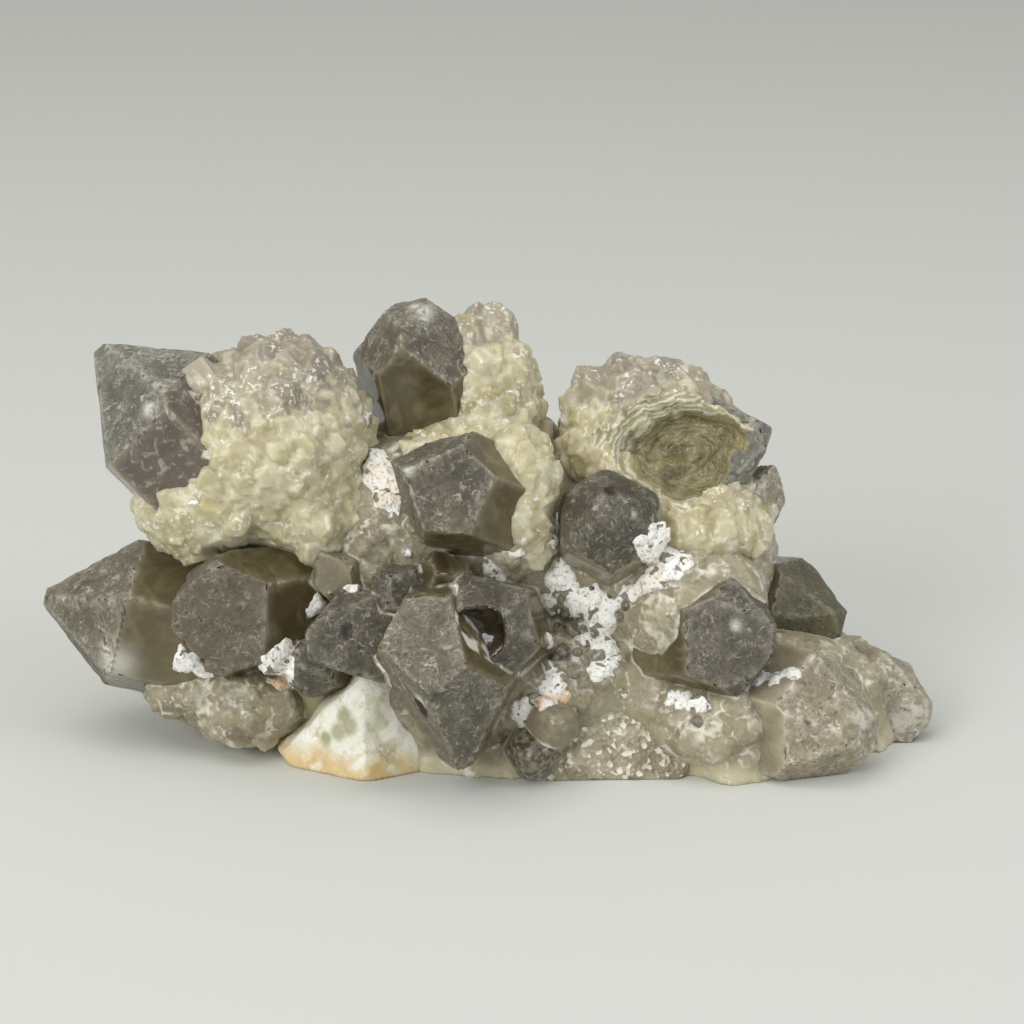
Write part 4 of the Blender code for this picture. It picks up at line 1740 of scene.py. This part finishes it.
@dataclass(frozen=True)
class Base:
    """Massive quartz broken off round its line on the flat, in blocky crystals with thin white seams."""

    line: tuple = (
        (-56.0, 13.0), (-50.0, 6.0), (-42.0, -1.0), (-35.0, -8.0), (-31.0, -14.0), (-22.0, -17.0),
        (-10.0, -22.0), (4.0, -24.0), (9.0, -21.5), (21.0, -22.0), (33.0, -22.5), (40.0, -27.0),
        (46.0, -25.0), (57.0, -17.0), (66.0, -12.0), (72.0, -4.0), (71.0, 5.0), (60.0, 13.0),
        (44.0, 19.0), (20.0, 23.0), (-8.0, 23.0), (-34.0, 22.0), (-50.0, 20.0),
    )
    top: float = 13.5
    lean: float = 0.24  # how far the wall goes in for each mm of height
    lumps: tuple = (
        Lump((-28.0, 4.0, 12.0), (28.0, 17.0, 15.0)),
        Lump((4.0, -2.0, 11.0), (34.0, 22.0, 15.0)),
        Lump((36.0, -2.0, 9.0), (30.0, 21.0, 13.0)),
        Lump((-10.0, 4.0, 32.0), (32.0, 20.0, 20.0)),
        Lump((24.0, 4.0, 28.0), (26.0, 19.0, 18.0)),
        Lump((37.0, -15.0, 8.5), (13.0, 13.0, 9.0)),
        Lump((34.0, -11.0, 25.0), (13.0, 11.0, 12.0)),
        Lump((-34.0, 10.0, 41.0), (9.5, 7.5, 7.5)),
        Lump((-40.0, -10.5, 8.5), (10.5, 9.0, 7.8)),
        Lump((-50.0, -7.0, 10.0), (8.0, 8.5, 6.0)),
    )
    low: Vec3 = (-58.0, -31.0, -1.2)  # corners of the space that holds its foot
    high: Vec3 = (76.0, 26.0, 0.0)
    spacing: float = 3.3
    radius: tuple = (1.6, 3.1)
    stand: tuple = (0.0, 0.7)
    cell: float = 0.62

    def block(self, points: Array) -> Array:
        """Distance from the broken block at the bottom, below zero inside.

        Args:
            points: places in mm, one a row.

        Returns:
            One distance a point, in mm.
        """
        x, y = points[:, 0], points[:, 1]
        nearest = np.full(len(points), 1e6)
        inside = np.zeros(len(points), bool)
        for (ax, ay), (bx, by) in zip(self.line, self.line[1:] + self.line[:1]):
            dx, dy = bx - ax, by - ay
            along = np.clip(((x - ax) * dx + (y - ay) * dy) / (dx * dx + dy * dy), 0.0, 1.0)
            nearest = np.minimum(nearest, np.hypot(x - ax - dx * along, y - ay - dy * along))
            if dy:
                inside ^= ((ay > y) != (by > y)) & (x < ax + dx * (y - ay) / dy)
        wall = np.where(inside, -nearest, nearest) + np.maximum(points[:, 2], 0.0) * self.lean
        return np.maximum(wall, points[:, 2] - self.top)

    def distance(self, points: Array) -> Array:
        """The block and the lumps, filleted."""
        value = merged([self.block(points), *(lump.distance(points) for lump in self.lumps)], 1.6)
        return value + 0.7 - 0.5 * value_noise(points, 6.0, SEED_BASE + 15)

    def shape(self) -> Shape:
        """The base with its blocky crystals, cut off on the flat.

        Returns:
            A shape with the marks of its crystals, and foot and warm.
        """
        low = np.array(self.low)
        high = np.maximum(box_of(self.lumps, 3.0)[1], self.high)
        rng = np.random.default_rng(SEED_BASE)
        feet, look = spread(skin(self.distance, low, high, 1.1), self.spacing, SEED_BASE + 1)
        front = np.minimum(MILKY_VEIN.distance(feet), SUGAR_BREAK.distance(feet)) < 1.2
        keep = (feet[:, 2] > -0.5) & ~front
        for crystal in CRYSTALS.values():
            keep &= crystal.depth(feet + look * 0.4) > 0.2
        feet, look = feet[keep], look[keep]
        radius = rng.uniform(*self.radius, len(feet))
        grains = tiles(feet, look, radius, rng.uniform(*self.stand, len(feet)), SEED_BASE + 2)
        made = skin(self.distance, low, high, self.cell, grains, lambda p: -p[:, 2])
        fine = 0.25 * fractal(made.points, 1.6, 3, SEED_BASE + 16) * smooth_step(0.0, 1.0, made.points[:, 2])
        made.marks = grains.marks(made.points)
        height = made.points[:, 2] + 1.5 * value_noise(made.points, 4.0, SEED_BASE + 17)
        made.marks["foot"] = smooth_step(5.0, 1.0, height)
        made.marks["warm"] = smooth_step(10.0, 45.0, made.points[:, 0])
        made.points = made.points + made.normals() * np.minimum(fine, 0.0)[:, None]
        made.points[:, 2] = np.maximum(made.points[:, 2], 0.0)
        return made


def broken_mass(lump: Lump, number: int, rough: float) -> Shape:
    """A flat-broken mass with a rough break.

    Args:
        lump: the mass.
        number: sets its noise.
        rough: the height of its roughness in mm.

    Returns:
        A shape with the mark stain, strong near the foot.
    """
    low, high = box_of([lump], 1.5)
    made = skin(lambda p: np.maximum(lump.distance(p), -p[:, 2]), low, high, 0.5)
    uneven = rough * (fractal(made.points, 3.5, 4, number) - 0.3)
    uneven *= smooth_step(0.0, 1.5, made.points[:, 2])
    made.points = made.points + made.normals() * uneven[:, None]
    made.points[:, 2] = np.maximum(made.points[:, 2], 0.0)
    foot = smooth_step(5.5, 1.5, made.points[:, 2] + 1.5 * value_noise(made.points, 4.0, number + 9))
    made.marks = {"stain": foot}
    return made


@dataclass(frozen=True)
class Spot:
    """A place in the photograph with a radius in mm, and how stained it is."""

    px: float
    py: float
    radius: float
    stain: float = 0.0


FELDSPAR_SPOTS = (
    Spot(492, 569, 1.9), Spot(500, 575, 1.3), Spot(513, 554, 0.8), Spot(561, 560, 0.8), Spot(563, 569, 1.5),
    Spot(554, 582, 2.0), Spot(572, 581, 2.0), Spot(544, 601, 1.6), Spot(552, 600, 1.2), Spot(577, 601, 2.6),
    Spot(591, 593, 1.9), Spot(597, 615, 2.6), Spot(599, 627, 2.4), Spot(610, 609, 1.7), Spot(590, 607, 2.2),
    Spot(628, 596, 1.1), Spot(622, 601, 1.0), Spot(599, 643, 1.7), Spot(609, 650, 1.4), Spot(614, 660, 1.2),
    Spot(597, 668, 1.6), Spot(588, 640, 1.2), Spot(606, 672, 1.1), Spot(550, 640, 1.1), Spot(549, 670, 1.2),
    Spot(549, 687, 1.9), Spot(557, 696, 2.1, 1.0), Spot(548, 701, 1.4, 1.0), Spot(526, 712, 1.6),
    Spot(532, 706, 1.2), Spot(652, 546, 2.4), Spot(662, 549, 2.8), Spot(672, 557, 2.6), Spot(682, 566, 2.2),
    Spot(655, 572, 2.2, 0.3), Spot(646, 583, 1.5, 0.3), Spot(641, 541, 1.2), Spot(684, 698, 1.8),
    Spot(694, 707, 1.6), Spot(677, 694, 1.0), Spot(761, 676, 1.4), Spot(773, 678, 1.1), Spot(791, 673, 0.8),
    Spot(377, 460, 2.2), Spot(382, 472, 2.4, 0.3), Spot(386, 486, 2.2, 0.4), Spot(389, 499, 1.8, 0.4),
    Spot(392, 509, 1.1), Spot(368, 416, 1.0), Spot(283, 658, 2.6), Spot(290, 668, 2.3), Spot(276, 668, 2.2),
    Spot(279, 680, 1.7, 1.0), Spot(186, 662, 1.5), Spot(204, 673, 1.0), Spot(319, 606, 1.3),
    Spot(311, 615, 1.0), Spot(352, 587, 0.9), Spot(405, 551, 1.0), Spot(553, 540, 0.8),
)
SEAMS = (((557, 514), (557, 534), (555, 554)),)
GRAIN_SPOTS = (
    Spot(555, 581, 0.8), Spot(574, 591, 0.7), Spot(581, 573, 1.2), Spot(566, 571, 0.8), Spot(626, 606, 1.1),
    Spot(618, 614, 1.0), Spot(557, 626, 0.9), Spot(583, 628, 0.9), Spot(558, 652, 2.2), Spot(586, 660, 1.2),
    Spot(600, 656, 1.5), Spot(562, 676, 1.9), Spot(571, 630, 2.3), Spot(566, 612, 1.3), Spot(610, 598, 0.8),
    Spot(620, 618, 1.1), Spot(577, 652, 1.0), Spot(604, 667, 0.9), Spot(560, 600, 0.8), Spot(592, 588, 0.7),
    Spot(573, 672, 1.4), Spot(535, 699, 1.6), Spot(514, 565, 1.6), Spot(293, 645, 1.1), Spot(299, 651, 0.7),
    Spot(500, 572, 0.6), Spot(575, 593, 0.6), Spot(586, 643, 1.0), Spot(697, 722, 1.2),
)
# White frost on the crystals; the spots on the chip of the pale crystal at the right paint its glint, a
# painted highlight.
FROST_AND_GLINT_SPOTS = (
    Spot(118, 663, 3.0), Spot(108, 650, 1.8), Spot(424, 310, 1.8), Spot(415, 306, 1.2), Spot(150, 408, 1.4),
    Spot(408, 470, 1.0), Spot(404, 477, 0.8), Spot(752, 392, 2.2), Spot(765, 405, 1.6), Spot(912, 712, 2.6),
    Spot(898, 722, 2.2), Spot(878, 700, 0.9), Spot(878, 680, 0.9), Spot(421, 700, 1.2), Spot(424, 320, 1.0),
    Spot(736, 626, 0.8), Spot(861, 723, 2.2), Spot(852, 733, 1.4), Spot(868, 712, 1.4), Spot(601, 497, 0.4),
    Spot(634, 515, 0.5), Spot(595, 508, 0.4),
)
OLIVE_SPOTS = (Spot(344, 716, 1.6), Spot(348, 726, 2.0), Spot(338, 732, 1.8), Spot(326, 738, 1.4))
# The ridge between the broken faces of the milky vein, painted cream as a highlight.
CREAM_RIDGE_HIGHLIGHT = ((343, 688), (328, 702), (312, 718), (297, 732))


def nearness(sight: Sight, points: Array, spots: Sequence[Spot]) -> Array:
    """How much each point belongs to some spots: 1 at their middles.

    Args:
        sight: finds the spots.
        points: places in mm.
        spots: where in the photograph.

    Returns:
        One value a point.
    """
    total = np.zeros(len(points))
    for spot in spots:
        found = sight.hit(spot.px, spot.py)
        if found is not None:
            away = np.linalg.norm(points - found[0], axis=1)
            total = np.maximum(total, np.exp(-((away / spot.radius) ** 2)))
    return total


def feldspar(sight: Sight, spots: Sequence[Spot], cell: float) -> Shape:
    """The white mineral between the crystals: porous patches set where the photograph shows them.

    Args:
        sight: finds the places.
        spots: the patches.
        cell: fineness in mm.

    Returns:
        A shape with the mark stain.
    """
    found = [(spot, sight.hit(spot.px, spot.py)) for spot in spots]
    found = [(spot, hit) for spot, hit in found if hit is not None]
    middle = np.array([hit[0] - hit[1] * spot.radius * 0.3 for spot, hit in found])
    look = np.array([hit[1] for _, hit in found])
    radius = np.array([spot.radius for spot, _ in found])
    stain = np.array([spot.stain for spot, _ in found])

    def each(points: Array) -> Array:
        """The distance from every patch, one column each.

        Args:
            points: places in mm, one a row.

        Returns:
            One row a point and one column a patch.
        """
        away = points[:, None, :] - middle[None]
        up = np.einsum("pki,ki->pk", away, look)
        flat = np.linalg.norm(away - up[:, :, None] * look[None], axis=2)
        return (np.sqrt((flat / (radius * 1.2)) ** 2 + (up / (radius * 0.55)) ** 2) - 1.0) * radius * 0.55

    def distance(points: Array) -> Array:
        """All the patches, ragged and in small blocks, with pores.

        Args:
            points: places in mm, one a row.

        Returns:
            One distance a point, below zero inside.
        """
        value = each(points).min(axis=1) + 0.45 * fractal(points, 2.2, 3, SEED_FELDSPAR)
        pore, gap = cells(points, 1.7, SEED_FELDSPAR + 1)
        return np.maximum(value - 0.25 + 0.3 * np.exp(-gap / 0.25), 0.22 - pore)

    made = skin(distance, middle.min(axis=0) - 5.5, middle.max(axis=0) + 5.5, cell)
    made.marks = {"stain": stain[each(made.points).argmin(axis=1)]}
    return made


def grouped(spots: Sequence[Spot], reach: float) -> list[list[Spot]]:
    """Splits spots into groups that lie near each other in the photograph.

    Args:
        spots: what is split.
        reach: in pixels, how near a spot is to another of its group.

    Returns:
        The groups.
    """
    groups: list[list[Spot]] = []
    for spot in spots:
        near = [g for g in groups if any(math.hypot(s.px - spot.px, s.py - spot.py) < reach for s in g)]
        rest = [g for g in groups if g not in near]
        groups = rest + [sum(near, []) + [spot]]
    return groups


def traced(sight: Sight, line: Sequence[tuple[float, float]], step: float = 1.6) -> Array:
    """The places that a line of the photograph passes over.

    Args:
        sight: finds the places.
        line: its corners in pixels.
        step: how many pixels from one place to the next.

    Returns:
        The places in mm.
    """
    found = []
    for (ax, ay), (bx, by) in zip(line, line[1:]):
        steps = max(2, int(math.hypot(bx - ax, by - ay) / step))
        found += [sight.hit(ax + (bx - ax) * i / steps, ay + (by - ay) * i / steps) for i in range(steps + 1)]
    return np.array([hit[0] - hit[1] * 0.12 for hit in found if hit is not None]).reshape(-1, 3)


def seam(sight: Sight, line: Sequence[tuple[float, float]], number: int) -> Optional[Shape]:
    """A thin white ridge of feldspar along a line of the photograph.

    Args:
        sight: finds the places.
        line: the pixels that it passes.
        number: sets its unevenness.

    Returns:
        A shape, or None where the line misses the cluster.
    """
    middle = traced(sight, line)
    if len(middle) < 3:
        return None
    width = 0.36 + 0.2 * value_noise(middle, 2.5, SEED_SEAM + number)

    def distance(points: Array) -> Array:
        """A row of beads, run together."""
        away = np.linalg.norm(points[:, None, :] - middle[None], axis=2) - width
        return away.min(axis=1) + 0.14 * fractal(points, 0.9, 2, SEED_SEAM + 10 + number)

    return skin(distance, middle.min(axis=0) - 1.5, middle.max(axis=0) + 1.5, 0.28)


def grain(place: Array, radius: float, number: int) -> Shape:
    """A rounded grain with a few flat sides.

    Args:
        place: its middle in mm.
        radius: in mm.
        number: sets its sides.

    Returns:
        A shape with the mark pick.
    """
    rng = np.random.default_rng(SEED_GRAIN + number)
    side = rng.normal(size=(11, 3))
    side /= np.linalg.norm(side, axis=1, keepdims=True)
    reach = radius * rng.uniform(0.8, 1.0, 11)

    def distance(points: Array) -> Array:
        """The sides, with their edges rounded off.

        Args:
            points: places in mm, one a row.

        Returns:
            One distance a point, below zero inside.
        """
        away = points - place
        value = away @ side.T - reach
        soft = radius * 0.12
        ball = np.linalg.norm(away, axis=1) - radius * 1.12
        return np.maximum(soft * np.log(np.exp(np.clip(value / soft, -30, 30)).sum(axis=1)), ball)

    made = skin(distance, place - radius * 1.3, place + radius * 1.3, max(radius / 5.0, 0.2))
    made.marks = {"pick": np.full(len(made.points), rng.uniform())}
    return made


# Pieces


def piece(name: str, shapes: Sequence[Shape], finishes: Sequence[Finish]) -> bpy.types.Object:
    """Makes an object of some shapes, in metres, and sets it on the cluster's body.

    Args:
        name: what the piece is.
        shapes: what it is made of.
        finishes: a finish for each slot.

    Returns:
        The object.
    """
    whole = joined(shapes)
    mesh = bpy.data.meshes.new(name)
    count = len(whole.faces)
    mesh.vertices.add(len(whole.points))
    mesh.vertices.foreach_set("co", ((whole.points + CENTRE_SHIFT) * MM).astype(np.float32).ravel())
    mesh.loops.add(count * 4)
    mesh.loops.foreach_set("vertex_index", whole.faces.astype(np.int32).ravel())
    mesh.polygons.add(count)
    mesh.polygons.foreach_set("loop_start", (np.arange(count) * 4).astype(np.int32))
    mesh.polygons.foreach_set("material_index", whole.slots.astype(np.int32))
    mesh.update(calc_edges=True)
    mesh.validate()
    mesh.polygons.foreach_set("use_smooth", np.ones(len(mesh.polygons), bool))
    for key, values in whole.marks.items():
        mark = mesh.attributes.new(key, "FLOAT", "POINT")
        mark.data.foreach_set("value", values.astype(np.float32))
    for finish in finishes:
        mesh.materials.append(finish.material())
    obj = bpy.data.objects.new(name, mesh)
    bpy.context.scene.collection.objects.link(obj)
    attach(obj, "root")
    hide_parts(NODE)
    log.info("%s: %d faces", name, count)
    return obj


class Cluster:
    """The whole specimen, built from the inside out."""

    def __init__(self) -> None:
        """Makes the great forms, which all that is small sits on."""
        self.crystals = {name: crystal.shape(i) for i, (name, crystal) in enumerate(CRYSTALS.items())}
        log.info("%d crystals drawn", len(self.crystals))
        self.crusts = {name: crust.shape(i) for i, (name, crust) in enumerate(CRUSTS.items())}
        log.info("%d crusts drawn", len(self.crusts))
        self.base = Base().shape()
        self.vein = broken_mass(MILKY_VEIN, 50, 0.45)
        self.sugar = broken_mass(SUGAR_BREAK, 60, 0.5)
        self.sight = Sight([*self.crystals.values(), *self.crusts.values(), self.base, self.vein, self.sugar])

    def tint(self) -> None:
        """Marks the frosted places with the painted glints among them, the olive places, and the cream ridge
        painted as a highlight.
        """
        for name, made in [*self.crystals.items(), ("base", self.base)]:
            made.marks["white"] = nearness(self.sight, made.points, FROST_AND_GLINT_SPOTS)
            others = [crystal for other, crystal in CRYSTALS.items() if other != name]
            joint = np.min([np.maximum(c.depth(made.points), 0.0) for c in others], axis=0)
            for hollow in CRYSTALS[name].hollows if name in CRYSTALS else ():
                joint[hollow.distance(made.points) < 1.3] = FAR
            made.marks["joint"] = joint
        self.vein.marks["olive"] = nearness(self.sight, self.vein.points, OLIVE_SPOTS)
        # The cream ridge is a painted highlight along the edge of the broken faces.
        ridge = traced(self.sight, CREAM_RIDGE_HIGHLIGHT)
        away = np.linalg.norm(self.vein.points[:, None, :] - ridge[None], axis=2).min(axis=1)
        self.vein.marks["ridge"] = np.exp(-((away / 1.1) ** 2))

    def build(self) -> None:
        """Makes every piece."""
        self.tint()
        for name, crystal in CRYSTALS.items():
            finishes = (crystal.head_finish, crystal.side_finish, crystal.hollow_finish)
            piece(f"{name}_crystal", [self.crystals[name]], finishes)
        for name, made in self.crusts.items():
            piece(name, [made], (DRUSE, BANDED))
        piece("base", [self.base], (GRAINED,))
        piece("milky_vein", [self.vein], (MILKY,))
        piece("granular_break", [self.sugar], (SPARRY,))
        patches = [feldspar(self.sight, group, 0.4) for group in grouped(FELDSPAR_SPOTS, 30.0)]
        piece("white_feldspar", patches, (FELDSPAR,))
        ridges = [seam(self.sight, line, i) for i, line in enumerate(SEAMS)]
        piece("white_seams", [ridge for ridge in ridges if ridge is not None], (FELDSPAR,))
        grains = []
        for i, spot in enumerate(GRAIN_SPOTS):
            found = self.sight.hit(spot.px, spot.py)
            if found is not None:
                grains.append(grain(found[0] - found[1] * spot.radius * 0.5, spot.radius * 0.95, i))
        piece("dark_grains", grains, (DARK_GRAIN,))


# Studio


def stage_floor() -> None:
    """A plain pale floor that curves up behind the object."""
    bend = [math.radians(t) for t in range(0, 91, 6)]
    curve = [(0.9 + 0.5 * math.sin(t), 0.5 - 0.5 * math.cos(t)) for t in bend]
    profile = [(-1.4, 0.0), *curve, (1.4, 2.2)]
    mesh = bpy.data.meshes.new("floor")
    points = [(x, y, z) for y, z in profile for x in (-3.0, 3.0)]
    faces = [(2 * i, 2 * i + 1, 2 * i + 3, 2 * i + 2) for i in range(len(profile) - 1)]
    mesh.from_pydata(points, [], faces)
    mesh.polygons.foreach_set("use_smooth", [True] * len(faces))
    material = bpy.data.materials.new("matte_pale_paper")
    material.use_nodes = True
    surface = material.node_tree.nodes["Principled BSDF"]
    surface.inputs["Base Color"].default_value = linear("#D8DAD5")
    surface.inputs["Roughness"].default_value = 0.85
    mesh.materials.append(material)
    obj = bpy.data.objects.new("floor", mesh)
    bpy.context.scene.collection.objects.link(obj)
    obj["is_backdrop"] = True


def soft_light(name: str, place: Vec3, size: float, watts: float, colour: str) -> None:
    """A large square lamp that faces the object.

    Args:
        name: what it is.
        place: where, in metres.
        size: its side in metres.
        watts: its power.
        colour: an sRGB hex colour.
    """
    lamp = bpy.data.lights.new(name, "AREA")
    lamp.shape, lamp.size, lamp.energy = "SQUARE", size, watts
    lamp.color = linear(colour)[:3]
    obj = bpy.data.objects.new(name, lamp)
    obj.location = place
    obj.rotation_euler = (Vector((0.0, 0.0, 0.035)) - Vector(place)).to_track_quat("-Z", "Y").to_euler()
    bpy.context.scene.collection.objects.link(obj)


def studio() -> None:
    """The floor, the lamps, the light all round, and the camera at the photograph's angle."""
    stage_floor()
    soft_light("overhead", (-0.25, -0.25, 1.1), 0.9, 4.7, "#FFFDF8")
    soft_light("front_left", (-0.7, -0.95, 0.6), 0.6, 7.2, "#FFFFFF")
    soft_light("right", (0.95, -0.4, 0.6), 0.5, 3.0, "#F2F4FF")
    world = bpy.data.worlds.new("studio")
    world.use_nodes = True
    world.node_tree.nodes["Background"].inputs[0].default_value = linear("#EBEBE9")
    world.node_tree.nodes["Background"].inputs[1].default_value = 0.55
    scene = bpy.context.scene
    scene.world = world
    scene.view_settings.view_transform = "Standard"
    camera = bpy.data.cameras.new("camera")
    camera.sensor_width = SENSOR
    camera.lens = FOCAL_PIXELS / IMAGE_SIDE * SENSOR
    camera.clip_start, camera.clip_end = 0.01, 20.0
    holder = bpy.data.objects.new("camera", camera)
    back = Vector((0.0, -math.cos(VIEW_RISE), math.sin(VIEW_RISE))) * VIEW_DISTANCE
    holder.location = (Vector(VIEW_TARGET) + Vector(CENTRE_SHIFT) + back) * MM
    holder.rotation_euler = (math.pi / 2.0 - VIEW_RISE, 0.0, 0.0)
    scene.collection.objects.link(holder)
    scene.camera = holder


def main() -> None:
    """Builds the scene."""
    logging.basicConfig(level=logging.INFO, format="%(message)s")
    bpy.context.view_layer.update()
    studio()
    Cluster().build()
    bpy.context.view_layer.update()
    total = sum(len(o.data.polygons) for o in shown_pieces() if o.type == "MESH")
    log.info("in all: %d faces", total)


if __name__ == "__main__":
    main()
